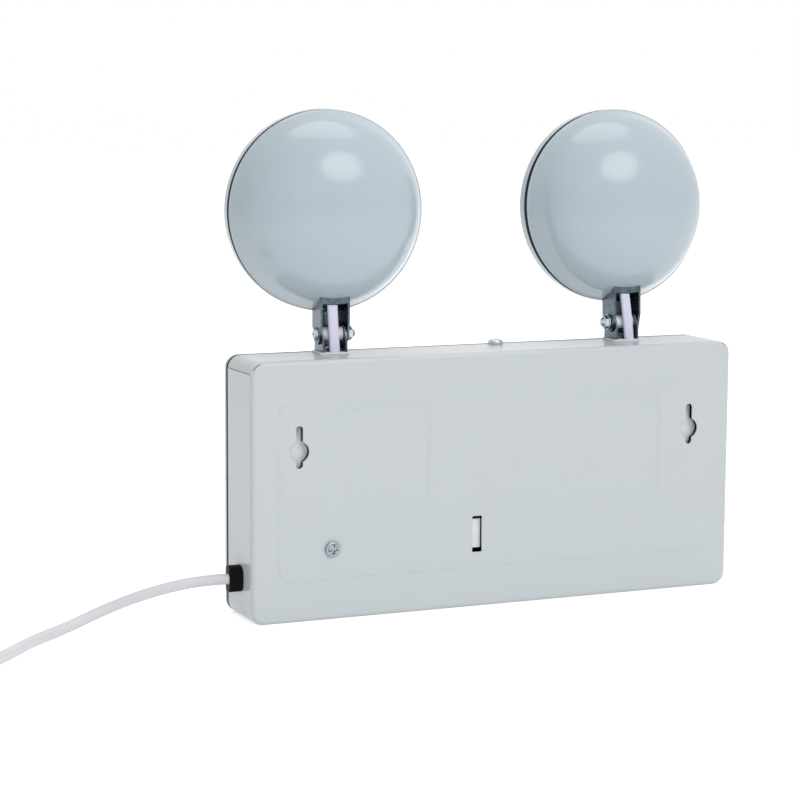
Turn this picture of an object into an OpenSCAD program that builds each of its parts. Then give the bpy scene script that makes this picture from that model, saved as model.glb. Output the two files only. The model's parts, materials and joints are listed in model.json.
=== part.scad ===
// Twin head emergency light: a flat steel case with two lamp heads that swivel and tilt on top of it.
// Front is -Y, the wall side is +Y, +Z is up. The origin is the bottom centre of the light's box.
// Modules draw in the wall frame, where y = 0 is the face that meets the wall, and place() moves them.

/* [Case] */
// Width of the case
case_w = 260; // [240:1:300]
// Height of the case
case_h = 126; // [120:1:150]
// Depth from the wall to the front of the cover
body_d = 39.5; // [38:0.5:48]
// Thickness of the steel sheet
sheet_t = 0.9; // [0.7:0.1:1.2]
// Radius of the four long corners
corner_r = 6.5; // [5:0.5:9]
// Radius of the sheet's bends round both faces
bend_r = 2.4; // [1.8:0.1:3.5]
// Depth of the front cover's skirt
skirt_d = 4.9; // [4:0.1:7]
// Gap between the skirt and the rear case
seam_gap = 0.4; // [0.2:0.1:0.8]
// Distance of a keyhole from the side of the case
keyhole_side = 24; // [17:1:30]
// Depth of the keyholes below the top
keyhole_down = 43.5; // [38:0.5:48]
// Radius of a keyhole's round part
keyhole_r = 5; // [4.5:0.1:6]
// Width of a keyhole's slots
keyhole_slot_w = 3.7; // [3:0.1:3.7]

/* [Heads] */
// Distance between the two swivel axes
head_spacing = 159.8; // [150:0.1:170]
// Distance of the swivel axes behind the front
swivel_front = 14.5; // [13.5:0.5:15.5]
// Radius of the bowl behind the rim
bowl_r = 46.4; // [42:0.1:51]
// Width of the flat rim round the bowl
rim_w = 2.3; // [1.5:0.1:3]
// Depth of the bowl
bowl_d = 30; // [24:0.5:34]
// Wall of the bowl
bowl_t = 1.6; // [1.2:0.1:2.2]
// Height of the bowl's underside above the tilt bolt
bowl_up = 12.5; // [11.8:0.1:15]
// Distance of the rim's plane in front of the tilt bolt
rim_forward = 8.2; // [8.2:0.1:9]
// Depth of the front ring
bezel_d = 6.8; // [6:0.1:9]
// How far the lens bulges
lens_crown = 4; // [2:0.5:5]
// Angle that the right head is turned to at rest
right_pan = 4.8; // [0:0.1:6]
// Angle that the left head is turned to at rest
left_pan = 2.6; // [0:0.1:6]
// Angle that the right head leans forward at rest
right_tilt = 0; // [0:0.1:4]
// Angle that the left head leans forward at rest
left_tilt = 2.9; // [0:0.1:4]

/* [Brackets] */
// Width of a bracket over its outer ears
bracket_w = 14.8; // [14:0.1:16]
// Depth of a bracket
bracket_d = 13.8; // [13:0.1:13.8]
// Sheet of the brackets
bracket_t = 1; // [0.8:0.1:1.2]
// Height of the tilt bolt above the case
pivot_up = 9.45; // [9.4:0.05:12]
// Radius of the tilt bolt
bolt_r = 2; // [1.5:0.1:2.2]
// Radius of the neck that swivels in the case
neck_r = 6.9; // [6.7:0.1:7]

/* [Cord] */
// Diameter of the mains lead
cord_d = 5.3; // [5:0.1:5.4]
// Outermost radius of the put-away coil, to the middle of the lead
coil_r = 34; // [32:0.5:36]

/* [Hidden] */
$fn = 48;
right = 1;
left = -1;

// Colours
white = "#e4e8ea";
zinc = "#9aa0a4";
black = "#1c1c1e";
sleeve_white = "#eef0ee";
board_green = "#2f6b3c";

// Clearances
overrun = 1;
run_gap = 0.05;
seat_gap = 0.02;
slice_t = 0.01;

// Stamping of the case
panel_rise = 0.5;
panel_side = 14;
panel_top = 20;
panel_corner_r = 4;
stamp_size = 50;
stamp_x = 63.5;
stamp_down = 49;
stamp_d = 0.3;
stamp_corner_r = 2;
corner_steps = 6;
bend_steps = 4;
slot_shift = 9.5;
slot_z = 36.5;
slot_w = 5.3;
slot_h = 18;
keyhole_top = 12.5;
keyhole_bottom = 8;
keyhole_x = case_w / 2 - keyhole_side;
keyhole_z = case_h - keyhole_down;
case_back = -panel_rise;
case_edge = -(body_d - skirt_d - seam_gap);
lip_d = 3.2;
lip_gap = 0.15;
lip_over = 2.8;
inner_top = case_h - sheet_t;
back_inside = case_back - sheet_t;
front_inside = -(body_d - sheet_t);

// Cover's screw, tab and hooks
screw_x = -11;
screw_front = 9.5;
screw_y = body_d - screw_front;
screw_r = 2;
screw_head_r = 3.8;
screw_head_h = 2.6;
screw_len = 6;
recess_w = 0.8;
recess_len = 3.6;
recess_d = 1;
tab_w = 14;
tab_len = 14.3;
nut_r = 4;
nut_h = 2.4;
hook_x = 70;
hook_w = 12;
hook_lift = 0.3;
hook_back = 1;
thread_gap = 0.02;

// Keyhole pockets
pocket_w = 15;
pocket_h = 28;
pocket_d = 4;
pocket_t = 1;
pocket_shift = 2.2;

// Earth screw
earth_side = 41.2;
earth_z = 34.8;
earth_x = case_w / 2 - earth_side;
earth_pad_r = 4.8;
earth_pad_d = 0.2;
earth_ring_side = 24.4;
earth_ring_r = 4.2;
earth_ring_w = 0.5;
earth_ring_h = 0.2;
earth_head_r = 4;
earth_head_h = 2;
earth_len = 9;
washer_r = 4.6;
washer_t = 0.8;

// Gland and lead
gland_y = 17.1;
gland_z = 20.6;
gland_out = 6.2;
gland_r = 6.5;
gland_base_half = 5.2;
gland_tip_half = 3.2;
gland_stem_r = 5.4;
gland_stem_len = 7;
gland_barb_r = 6.1;
gland_barb_len = 3;
gland_bore_gap = 0.15;
cord_r = cord_d / 2;
block_side = 36;
block_x = case_w / 2 - block_side;
block_w = 16;
block_z = 10;
block_h = 20.2;
block_d = 24;
block_screw_r = 1.8;
block_screw_d = 5;
// Route of the lead from the terminal block to the start of the coil
cord_route = [
    [110.1, -17.1, 20.6], [123, -17.1, 20.6], [136.2, -17.1, 20.6], [145, -17.1, 20.6], [154, -17.4, 20.1],
    [164, -18.2, 18.7], [175, -19.4, 16.3], [186, -20.6, 13.1], [197, -21.2, 9.4], [206, -20.6, 6.3],
    [214, -18.4, 4.1], [222, -14, 3], [230, -7.6, 2.7], [238, 0.4, 2.65], [246, 9.8, 2.65],
    [254, 19.2, 2.65], [264, 29.6, 2.65], [273.4, 36.4, 2.65], [283.9, 41.6, 2.65], [295.1, 44.8, 2.65],
    [303.2, 45.8, 2.65], [308, 46, 2.65]
];
cord_sides = 8;
coil_x = 308;
coil_y = 12;
coil_sides = 6;
coil_rings = 24;
coil_turns = 4.25;
coil_gap = 0.5;
coil_step = cord_d + coil_gap;
coil_start_angle = 90;
tail_z = cord_r + coil_step;
tail_len = 14;
plug_neck_len = 14;
plug_neck_r = 5.6;
plug_neck_tip_r = 3.7;
plug_w = 25;
plug_rear_w = 17;
plug_len = 30;
plug_shoulder_share = 0.4;
pin_t = 1.5;
pin_w = 6.4;
pin_len = 17;
pin_spacing = 12.7;
plug_y = coil_y - tail_len;
plug_x = coil_x + coil_r;

// Circuit board and what it carries
board_w = 100;
board_h = 50;
board_t = 1.6;
board_low_share = 0.46;
board_z = board_low_share * case_h;
board_lift = 6;
standoff_r = 3;
standoff_inset = 5;
board_screw_r = 1.5;
board_screw_head_r = 2.8;
board_screw_head_h = 1.6;
transformer_w = 34;
transformer_h = 28;
transformer_d = 22;
transformer_x = 24;
bobbin_w = 20;
bobbin_over = 4;
cap_r = 5;
cap_len = 16;
cap_x = -12;
cap_pitch = 12;
part_z = board_z + board_h / 2;
board_back = back_inside - board_lift;
board_face = board_back - board_t;

// Indicators and test switch
led_r = 1.5;
led_out = 1.6;
led_len = 6;
led_x = [-30, -18, -6];
panel_z = 38;
led_base_r = 1.9;
led_base_len = 1;
led_dome_steps = 4;
clip_r = 2.9;
clip_t = 0.8;
clip_sleeve_r = 2.2;
clip_depth = 5;
button_x = 14;
button_r = 3.2;
button_out = 3.2;
button_flange_r = 4;
button_flange_t = 1.5;
switch_bezel_r = 6.4;
switch_bezel_t = 1.4;
barrel_r = 5.2;
shoulder_d = 1.6;
chamber_d = 7.6;
switch_floor_t = 1.5;
spring_r = 3.4;
spring_wall = 0.9;

// Battery
cell_r = 7.25;
cell_len = 49.6;
cell_gap = 0.4;
cell_tip_r = 2.8;
cell_tip_h = 1;
cell_count = 3;
battery_gap = 6.2;
sleeve_t = 0.5;
clip_wall = 0.9;
clip_w = 12;
clip_x = [-48, 48];
clip_open_w = 12;
clip_foot_w = 10;
battery_len = cell_count * (cell_len + cell_gap);
battery_x = earth_x - washer_r - battery_gap - battery_len / 2;
slot_x = battery_x + slot_shift;

// Swivel foot and brackets
head_x = head_spacing / 2;
swivel_y = body_d - swivel_front;
foot_w = 15.2;
foot_d = 14.4;
foot_t = 1;
foot_corner_r = 1.5;
neck_wall = 0.75;
neck_below = 5.5;
swivel_gap = 0.1;
swivel_nut_r = 10;
swivel_nut_h = 2.6;
rivet_r = 1.6;
rivet_head_r = 3;
rivet_head_h = 1.1;
rivet_tail_r = 2.6;
rivet_tail_h = 1;
rivet_y = 1.8;
base_rear = 2.9;
ear_r = 5.2;
ear_shoulder = 4;
ear_side = 1.8;
ear_relief = 1.7;
upright_shoulder = 2;
web_up = 2.4;
web_down = 3.8;
web_lip_t = 0.6;
web_lip_h = 2.4;
ear_top = 24;
half_d = bracket_d / 2;
ear_outer = bracket_w / 2;
ear_inner = ear_outer - bracket_t;
ear_gap = 0.1;
upright_outer = ear_inner - ear_gap;
upright_inner = upright_outer - bracket_t;
foot_top = run_gap + foot_t;
pivot_rise = pivot_up - foot_top;
barrel_spacer_r = 3.3;
bolt_head_r = 3.5;
bolt_head_h = 1.5;
bolt_dome_r = 2.6;
nut_flange_r = 3.9;
nut_flange_t = 0.9;
nut_hex_r = 3.5;
nut_hex_h = 1.8;
nut_dome_r = 2.7;
nut_dome_h = 1.8;
lead_w = 5.3;
lead_t = 2.5;
lead_y = barrel_spacer_r + lead_t / 2 + 0.15 * lead_t;
lead_end_steps = 4;
lead_below = 8;
lead_top = 18.5;
lead_slot_gap = 0.12;
lead_hole_w = 6;

// Heads
rim_t = 1.2;
rim_r = bowl_r + rim_w;
rim_step = 0.5;
bowl_base_r = rim_r - rim_step;
rim_up = bowl_r + bowl_up;
bowl_steps = 16;
bowl_gap = 0.05;
gasket_t = 2.6;
gasket_inset = 1;
gasket_w = 4.4;
gasket_r = rim_r - gasket_inset;
gasket_inner = gasket_r - gasket_w;
gasket_step_t = 1.6;
gasket_step_w = 1.3;
gasket_step_r = gasket_r - gasket_step_w;
bezel_over = 0.1;
bezel_edge = 1.8;
bezel_edge_share = 0.35;
lip_t = 2;
bezel_w = 5.3;
bezel_open_r = rim_r - bezel_w;
recess_w_in_bezel = 3.4;
recess_r = bezel_open_r + recess_w_in_bezel;
lens_t = 2.2;
lens_gap = 0.1;
lens_steps = 10;
dish_inset = 1;
dish_r = bezel_open_r - dish_inset;
dish_t = 1;
dish_floor_r = 14.5;
dish_hole_r = 9.5;
dish_d = 21;
dish_steps = 8;
dish_flange_t = 1;
led_board_t = 1.6;
led_board_r = 14.4;
power_led_r = 2.4;
power_led_base = 1;
power_led_ring = 6;
power_led_count = 6;
bracket_rivet_x = 3.6;
bracket_rivet_y = -3;
bracket_rivet_r = 1.4;
bracket_rivet_head_r = 2.1;
bracket_rivet_head_h = 0.9;
rivet_seat_gap = 0.85;

function pan_of(side) = side == right ? right_pan : left_pan;
function tilt_of(side) = side == right ? right_tilt : left_tilt;

// How far in front of its swivel axis a head reaches, from its turned and leaning front circle
bezel_front = gasket_t + bezel_d;
bezel_face_r = rim_r + bezel_over - bezel_edge;
function head_reach(pan, tilt) =
    cos(pan) * ((rim_forward + bezel_front) * cos(tilt) + rim_up * sin(tilt))
    + bezel_face_r * sqrt(1 - pow(cos(pan) * cos(tilt), 2));
front_reach = swivel_y + max(head_reach(right_pan, right_tilt), head_reach(left_pan, left_tilt));
back_reach = earth_head_h - earth_pad_d;

module place() translate([0, (front_reach - back_reach) / 2, 0]) children();
module at_yoke(side)
    place() translate([side * head_x, -swivel_y, case_h]) rotate([0, 0, -pan_of(side)]) children();
module at_pivot(side) at_yoke(side) translate([0, 0, pivot_up]) children();
module at_head(side) at_pivot(side) rotate([tilt_of(side), 0, 0]) children();
// Turns a profile about the head's own axis: its second coordinate runs rearwards from the rim's plane
module about_head_axis()
    translate([0, -rim_forward, rim_up]) rotate([-90, 0, 0]) rotate_extrude($fn = 96) children();

// Basic shapes
function arc_points(x, z, r, start, steps) =
    [for (i = [0:steps]) [x + r * cos(start + 90 * i / steps), z + r * sin(start + 90 * i / steps)]];
function round_rect_points(w, h, r) = concat(
    arc_points(w / 2 - r, h / 2 - r, r, 0, corner_steps),
    arc_points(r - w / 2, h / 2 - r, r, 90, corner_steps),
    arc_points(r - w / 2, r - h / 2, r, 180, corner_steps),
    arc_points(w / 2 - r, r - h / 2, r, 270, corner_steps));
function stadium_points(w, t, steps) = [
    for (end = [0, 1], i = [0:steps])
        [(1 - 2 * end) * (w - t) / 2 + t / 2 * cos(end * 180 - 90 + 180 * i / steps),
         t / 2 * sin(end * 180 - 90 + 180 * i / steps)]];
// A rounded rectangle that stands upright, from y back to y - depth
module slab(w, h, r, y, depth)
    translate([0, y, 0]) rotate([90, 0, 0]) linear_extrude(depth) polygon(round_rect_points(w, h, r));
// A box between two corners
module block(low, high) translate(low) cube(high - low);
// A round bar along +Y from y
module bar_y(r, y, len) translate([0, y, 0]) rotate([-90, 0, 0]) cylinder(r = r, h = len);
// A round bar along +X from x
module bar_x(r, x, len) translate([x, 0, 0]) rotate([0, 90, 0]) cylinder(r = r, h = len);
module cross_recess()
    for (turn = [0, 90]) rotate([0, 0, turn])
        block([-recess_len / 2, -recess_w / 2, -recess_d], [recess_len / 2, recess_w / 2, overrun]);

// A sheet tray: its closed face at y = 0 is bent round at radius bend, and it is open at y = -depth
module tray(w, h, depth, corner, bend)
    hull()
        for (k = [0:bend_steps])
            let (a = 90 * k / bend_steps, inset = bend * (1 - sin(a)), back = bend * (1 - cos(a)))
                slab(w - 2 * inset, h - 2 * inset, corner - inset, -back, depth - back);
module hollow_tray(depth)
    difference() {
        tray(case_w, case_h, depth, corner_r, bend_r);
        translate([0, -sheet_t, 0])
            tray(case_w - 2 * sheet_t, case_h - 2 * sheet_t, depth, corner_r - sheet_t, bend_r - sheet_t);
    }
module ring_slab(outer_inset, inner_inset, y, depth)
    difference() {
        slab(case_w - 2 * outer_inset, case_h - 2 * outer_inset, corner_r - outer_inset, y, depth);
        slab(case_w - 2 * inner_inset, case_h - 2 * inner_inset, corner_r - inner_inset,
             y + overrun, depth + 2 * overrun);
    }

// Rear case
module keyhole_cut(x)
    translate([x, 0, keyhole_z]) {
        bar_y(keyhole_r, -pocket_d, pocket_d + overrun);
        for (z = [keyhole_top - keyhole_slot_w / 2, keyhole_slot_w / 2 - keyhole_bottom])
            translate([0, 0, z]) bar_y(keyhole_slot_w / 2, -pocket_d, pocket_d + overrun);
        block([-keyhole_slot_w / 2, -pocket_d, keyhole_slot_w / 2 - keyhole_bottom],
              [keyhole_slot_w / 2, overrun, keyhole_top - keyhole_slot_w / 2]);
    }
module raised_panel()
    difference() {
        slab(case_w - 2 * panel_side, case_h - 2 * panel_top, panel_corner_r, 0, panel_rise + sheet_t / 2);
        for (side = [left, right])
            translate([side * stamp_x, 0, case_h / 2 - stamp_down])
                slab(stamp_size, stamp_size, stamp_corner_r, overrun, stamp_d + overrun);
        translate([earth_x, 0, earth_z - case_h / 2]) bar_y(earth_pad_r, -earth_pad_d, earth_pad_d + overrun);
    }
module lip_notch(x, w)
    translate([x, case_edge, case_h / 2 - sheet_t - overrun])
        cube([w + overrun, 2 * (lip_d + lip_over), 2 * overrun], center = true);
module joggled_lip()
    difference() {
        union() {
            ring_slab(sheet_t / 2, 2 * sheet_t, case_edge + lip_d, lip_d);
            ring_slab(sheet_t + lip_gap, 2 * sheet_t, case_edge + lip_d / 2, lip_d / 2 + lip_over);
        }
        lip_notch(screw_x, tab_w);
        for (side = [left, right]) lip_notch(side * head_x, 2 * swivel_nut_r);
    }
module rear_case() color(white) place() {
    difference() {
        translate([0, 0, case_h / 2]) {
            difference() {
                union() {
                    translate([0, case_back, 0]) hollow_tray(-case_edge - panel_rise);
                    raised_panel();
                }
                slab(case_w - 2 * (panel_side + sheet_t), case_h - 2 * (panel_top + sheet_t), panel_corner_r,
                     -sheet_t, panel_rise + slice_t);
            }
            joggled_lip();
        }
        for (side = [left, right]) {
            keyhole_cut(side * keyhole_x);
            translate([side * head_x, -swivel_y, inner_top - overrun])
                cylinder(r = neck_r + run_gap, h = sheet_t + 2 * overrun);
        }
        block([slot_x - slot_w / 2, back_inside - overrun, slot_z - slot_h / 2],
              [slot_x + slot_w / 2, overrun, slot_z + slot_h / 2]);
        translate([earth_x, 0, earth_z])
            bar_y(screw_r + run_gap, back_inside - overrun, panel_rise + 3 * overrun);
        translate([screw_x, -screw_y, inner_top - overrun])
            cylinder(r = screw_r + run_gap, h = sheet_t + 2 * overrun);
        translate([0, -gland_y, gland_z])
            bar_x(gland_stem_r + run_gap, case_w / 2 - 2 * sheet_t, 3 * sheet_t);
    }
    translate([case_w / 2 - earth_ring_side, 0, earth_z])
        difference() {
            bar_y(earth_ring_r, -earth_ring_h, 2 * earth_ring_h);
            bar_y(earth_ring_r - earth_ring_w, -overrun, 2 * overrun);
        }
}

// Front cover with its screw tab and two hooks
module cover_hook(x)
    translate([x, 0, 2 * sheet_t + hook_lift]) {
        block([-hook_w / 2, front_inside - sheet_t / 2, 0],
              [hook_w / 2, case_edge + lip_d + hook_back, sheet_t]);
        block([-hook_w / 2, case_edge + lip_d + hook_back - sheet_t, -sheet_t],
              [hook_w / 2, case_edge + lip_d + hook_back, sheet_t]);
    }
module front_cover() color(white) place()
    difference() {
        union() {
            translate([0, -body_d, case_h / 2]) mirror([0, 1, 0]) hollow_tray(skirt_d);
            block([screw_x - tab_w / 2, front_inside - sheet_t / 2, inner_top - run_gap - sheet_t],
                  [screw_x + tab_w / 2, tab_len - body_d, inner_top - run_gap]);
            for (side = [left, right]) cover_hook(side * hook_x);
        }
        translate([screw_x, -screw_y, inner_top - 2 * overrun - sheet_t])
            cylinder(r = screw_r + run_gap, h = sheet_t + 3 * overrun);
        for (x = led_x)
            translate([x, 0, panel_z])
                bar_y(clip_sleeve_r + run_gap, -body_d - overrun, sheet_t + 2 * overrun);
        translate([button_x, 0, panel_z])
            bar_y(barrel_r + run_gap, -body_d - overrun, sheet_t + 2 * overrun);
    }
module cover_screw() color(zinc) place() translate([screw_x, -screw_y, case_h])
    difference() {
        union() {
            cylinder(r1 = screw_head_r, r2 = screw_head_r / 2, h = screw_head_h);
            translate([0, 0, -screw_len]) cylinder(r = screw_r, h = screw_len);
        }
        translate([0, 0, screw_head_h]) cross_recess();
    }
module cover_nut() color(zinc) place()
    translate([screw_x, -screw_y, inner_top - run_gap - sheet_t - nut_h])
        difference() {
            cylinder(r = nut_r, h = nut_h, $fn = 6);
            translate([0, 0, -overrun]) cylinder(r = screw_r + thread_gap, h = nut_h + 2 * overrun);
        }

// Guards behind the keyholes
module keyhole_pockets() color(sleeve_white) place()
    for (side = [left, right])
        translate([side * keyhole_x, 0, keyhole_z + pocket_shift])
            difference() {
                block([-pocket_w / 2, back_inside - pocket_d, -pocket_h / 2],
                      [pocket_w / 2, back_inside + panel_rise, pocket_h / 2]);
                block([pocket_t - pocket_w / 2, back_inside - pocket_d + pocket_t, pocket_t - pocket_h / 2],
                      [pocket_w / 2 - pocket_t, back_inside + panel_rise + overrun, pocket_h / 2 - pocket_t]);
            }

// Earth terminal
module earth_screw() color(zinc) place() translate([earth_x, -earth_pad_d, earth_z]) rotate([-90, 0, 0])
    difference() {
        union() {
            cylinder(r1 = earth_head_r, r2 = earth_head_r * 0.6, h = earth_head_h);
            translate([0, 0, -earth_len]) cylinder(r = screw_r, h = earth_len);
        }
        translate([0, 0, earth_head_h]) cross_recess();
    }
module earth_nut() color(zinc) place() translate([earth_x, -sheet_t, earth_z]) rotate([90, 0, 0])
    difference() {
        union() {
            cylinder(r = washer_r, h = washer_t);
            cylinder(r = nut_r, h = washer_t + nut_h, $fn = 6);
        }
        translate([0, 0, -overrun]) cylinder(r = screw_r + thread_gap, h = washer_t + nut_h + 2 * overrun);
    }

// Strain relief that the lead comes out of: round at the wall, flattened towards its tip
module cable_gland() color(black) place() translate([case_w / 2, -gland_y, gland_z])
    difference() {
        union() {
            intersection() {
                bar_x(gland_r, 0, gland_out);
                translate([0, 0, -gland_r]) linear_extrude(2 * gland_r)
                    polygon([[0, -gland_base_half], [gland_out, -gland_tip_half],
                             [gland_out, gland_tip_half], [0, gland_base_half]]);
            }
            bar_x(gland_stem_r, -sheet_t - gland_stem_len, sheet_t + gland_stem_len + slice_t);
            bar_x(gland_barb_r, -sheet_t - run_gap - gland_barb_len, gland_barb_len);
        }
        bar_x(cord_r + gland_bore_gap, -sheet_t - gland_stem_len - overrun,
              gland_out + gland_stem_len + 3 * overrun);
    }

// Mains lead
function ring_at(p, along, r, sides) =
    let (side = cross(along, [0, 0, 1]) / norm(cross(along, [0, 0, 1])), up = cross(side, along))
        [for (k = [0:sides - 1]) p + r * (cos(360 * k / sides) * side + sin(360 * k / sides) * up)];
function unit(v) = v / norm(v);
function along_at(path, i) = unit(path[min(i + 1, len(path) - 1)] - path[max(i - 1, 0)]);
function tube_points(path, r, sides) =
    [for (i = [0:len(path) - 1]) for (p = ring_at(path[i], along_at(path, i), r, sides)) p];
function tube_faces(count, sides) = concat(
    [for (k = [1:sides - 2]) [0, k, k + 1]],
    [for (k = [1:sides - 2]) [(count - 1) * sides, (count - 1) * sides + k + 1, (count - 1) * sides + k]],
    [for (i = [0:count - 2], k = [0:sides - 1], half = [0, 1])
        let (a = i * sides + k, b = i * sides + (k + 1) % sides)
            half == 0 ? [a, a + sides, b] : [b, a + sides, b + sides]]);
module tube(path, r, sides) polyhedron(tube_points(path, r, sides), tube_faces(len(path), sides));
function path_length(path) = len(path) < 2 ? 0 : [for (i = [0:len(path) - 2]) norm(path[i + 1] - path[i])]
    * [for (i = [0:len(path) - 2]) 1];

// The coil spirals in on the table, climbs one layer in the half turn where it reverses, and spirals out
function coil_point(turn) =
    let (half = coil_turns / 2,
         r = coil_r - coil_step * (half - abs(turn - half)),
         climb = min(1, max(0, (turn - half) * 2 + 0.5)),
         a = coil_start_angle - 360 * turn)
        [coil_x + r * cos(a), coil_y + r * sin(a), cord_r + coil_step * climb];
coil_path = concat(
    [[coil_x, coil_y + coil_r, cord_r]],
    [for (i = [1:coil_turns * coil_rings - 1]) coil_point(i / coil_rings)],
    [[coil_x + coil_r, coil_y, tail_z], [plug_x, plug_y, tail_z]]);
coil_least_gap = min([for (i = [0:len(coil_path) - 1], j = [0:len(coil_path) - 1])
    if (j - i > coil_rings / 2) norm(coil_path[j] - coil_path[i])]) - cord_d;
echo(coil_least_gap_mm = coil_least_gap,
     lead_length_mm = path_length([for (p = cord_route) if (p.x > case_w / 2 + gland_out - 1) p])
     + path_length(coil_path));
module mains_cord() color(white) place() tube(cord_route, cord_r, cord_sides);
module cord_coil() color(white) place() tube(coil_path, cord_r, coil_sides);

// Plug, lying flat beside the coil
module at_plug() place() translate([plug_x, plug_y, tail_z]) rotate([0, 0, 180]) children();
module mains_plug() color(white) at_plug() {
    translate([0, seat_gap, 0]) rotate([-90, 0, 0])
        cylinder(r1 = plug_neck_tip_r, r2 = plug_neck_r, h = plug_neck_len);
    translate([0, plug_neck_len, -tail_z]) linear_extrude(2 * tail_z)
        polygon([[-plug_rear_w / 2, 0], [plug_rear_w / 2, 0],
                 [plug_w / 2, plug_shoulder_share * plug_len], [plug_w / 2, plug_len],
                 [-plug_w / 2, plug_len], [-plug_w / 2, plug_shoulder_share * plug_len]]);
}
module plug_pins() color(zinc) at_plug()
    for (side = [left, right])
        translate([side * pin_spacing / 2, plug_neck_len + plug_len, 0])
            block([-pin_t / 2, 0, -pin_w / 2], [pin_t / 2, pin_len, pin_w / 2]);

// Terminal block
module terminal_block() color(sleeve_white) place()
    difference() {
        block([block_x, back_inside - block_d, block_z], [block_x + block_w, back_inside, block_z + block_h]);
        for (k = [0:2])
            translate([block_x + block_w / 2, 0, block_z + (k + 0.5) * block_h / 3])
                bar_y(block_screw_r, back_inside - block_d - overrun, block_screw_d + overrun);
    }

// Circuit board
module at_board_corners()
    for (x = [-1, 1] * (board_w / 2 - standoff_inset), z = [standoff_inset, board_h - standoff_inset])
        translate([x, 0, board_z + z]) children();
module circuit_board() color(board_green) place()
    difference() {
        block([-board_w / 2, board_face, board_z], [board_w / 2, board_back, board_z + board_h]);
        at_board_corners() bar_y(board_screw_r + run_gap, board_face - overrun, board_t + 2 * overrun);
    }
module board_standoffs() color(zinc) place()
    at_board_corners() difference() {
        bar_y(standoff_r, board_back, board_lift);
        bar_y(board_screw_r + run_gap, board_back - overrun, board_lift / 2 + overrun);
    }
module board_screws() color(zinc) place()
    at_board_corners() {
        bar_y(board_screw_head_r, board_face - board_screw_head_h, board_screw_head_h);
        bar_y(board_screw_r, board_face - slice_t, board_t + board_lift / 2);
    }
module transformer() color("#c9a227") place() translate([transformer_x, board_face, part_z]) {
    block([-transformer_w / 2, -transformer_d, -transformer_h / 2],
          [transformer_w / 2, 0, transformer_h / 2]);
    block([-bobbin_w / 2, -transformer_d + bobbin_over, -transformer_h / 2 - bobbin_over],
          [bobbin_w / 2, -bobbin_over, transformer_h / 2 + bobbin_over]);
}
module capacitors() color(black) place()
    for (k = [-1, 0, 1])
        translate([cap_x, 0, part_z + k * cap_pitch]) bar_y(cap_r, board_face - cap_len, cap_len);

// Indicator lamps, clipped into the front cover
module indicator_leds() color("#6fbf73") place()
    for (x = led_x)
        translate([x, -body_d + led_len, panel_z]) rotate([90, 0, 0]) rotate_extrude()
            polygon(concat(
                [[0, 0], [led_base_r, 0], [led_base_r, led_base_len], [led_r, led_base_len]],
                [for (k = [0:led_dome_steps])
                    [led_r * cos(90 * k / led_dome_steps),
                     led_len + led_out - led_r + led_r * sin(90 * k / led_dome_steps)]]));
module indicator_clips() color(black) place()
    for (x = led_x)
        translate([x, 0, panel_z]) difference() {
            union() {
                bar_y(clip_r, -body_d - clip_t, clip_t);
                bar_y(clip_sleeve_r, -body_d - slice_t, clip_depth);
            }
            bar_y(led_r + run_gap, -body_d - clip_t - overrun, clip_depth + 3 * overrun);
        }

// Push-to-test switch
module at_switch() place() translate([button_x, -body_d, panel_z]) children();
module switch_body() color(black) at_switch()
    difference() {
        union() {
            bar_y(switch_bezel_r, -switch_bezel_t, switch_bezel_t);
            bar_y(barrel_r, -slice_t, shoulder_d + chamber_d + switch_floor_t);
        }
        bar_y(button_r + run_gap, -switch_bezel_t - overrun, switch_bezel_t + shoulder_d + 2 * overrun);
        bar_y(button_flange_r + run_gap, shoulder_d, chamber_d);
    }
module test_button() color("#c0392b") at_switch() {
    bar_y(button_r, -button_out, button_out + shoulder_d + run_gap + slice_t);
    bar_y(button_flange_r, shoulder_d + run_gap, button_flange_t);
}
module switch_spring() color(zinc) at_switch()
    difference() {
        bar_y(spring_r, shoulder_d + run_gap + button_flange_t, chamber_d - run_gap - button_flange_t);
        bar_y(spring_r - spring_wall, shoulder_d, chamber_d + overrun);
    }

// Battery stick of round cells in a shrunk sleeve, held to the back by two spring clips
clip_bore = cell_r + sleeve_t + seat_gap + run_gap;
module at_battery()
    place() translate([battery_x - battery_len / 2, back_inside - clip_wall - clip_bore, slot_z]) children();
module battery_cells() color("#b9c4c9") at_battery()
    for (k = [0:cell_count - 1]) translate([k * (cell_len + cell_gap), 0, 0]) {
        bar_x(cell_r, 0, cell_len - cell_tip_h);
        bar_x(cell_tip_r, cell_len - cell_tip_h - slice_t, cell_tip_h + slice_t);
    }
module battery_sleeve() color(sleeve_white) at_battery()
    difference() {
        bar_x(cell_r + seat_gap + sleeve_t, -sleeve_t, battery_len + sleeve_t);
        bar_x(cell_r + seat_gap, -overrun, battery_len + 2 * overrun);
    }
module battery_clips() color(zinc) at_battery()
    for (x = clip_x) translate([battery_len / 2 + x - clip_w / 2, 0, 0])
        difference() {
            union() {
                bar_x(clip_bore + clip_wall, 0, clip_w);
                block([0, clip_bore / 2, -clip_foot_w / 2], [clip_w, clip_bore + clip_wall, clip_foot_w / 2]);
            }
            bar_x(clip_bore, -overrun, clip_w + 2 * overrun);
            block([-overrun, -2 * clip_bore, -clip_open_w / 2], [clip_w + overrun, 0, clip_open_w / 2]);
        }

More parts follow.
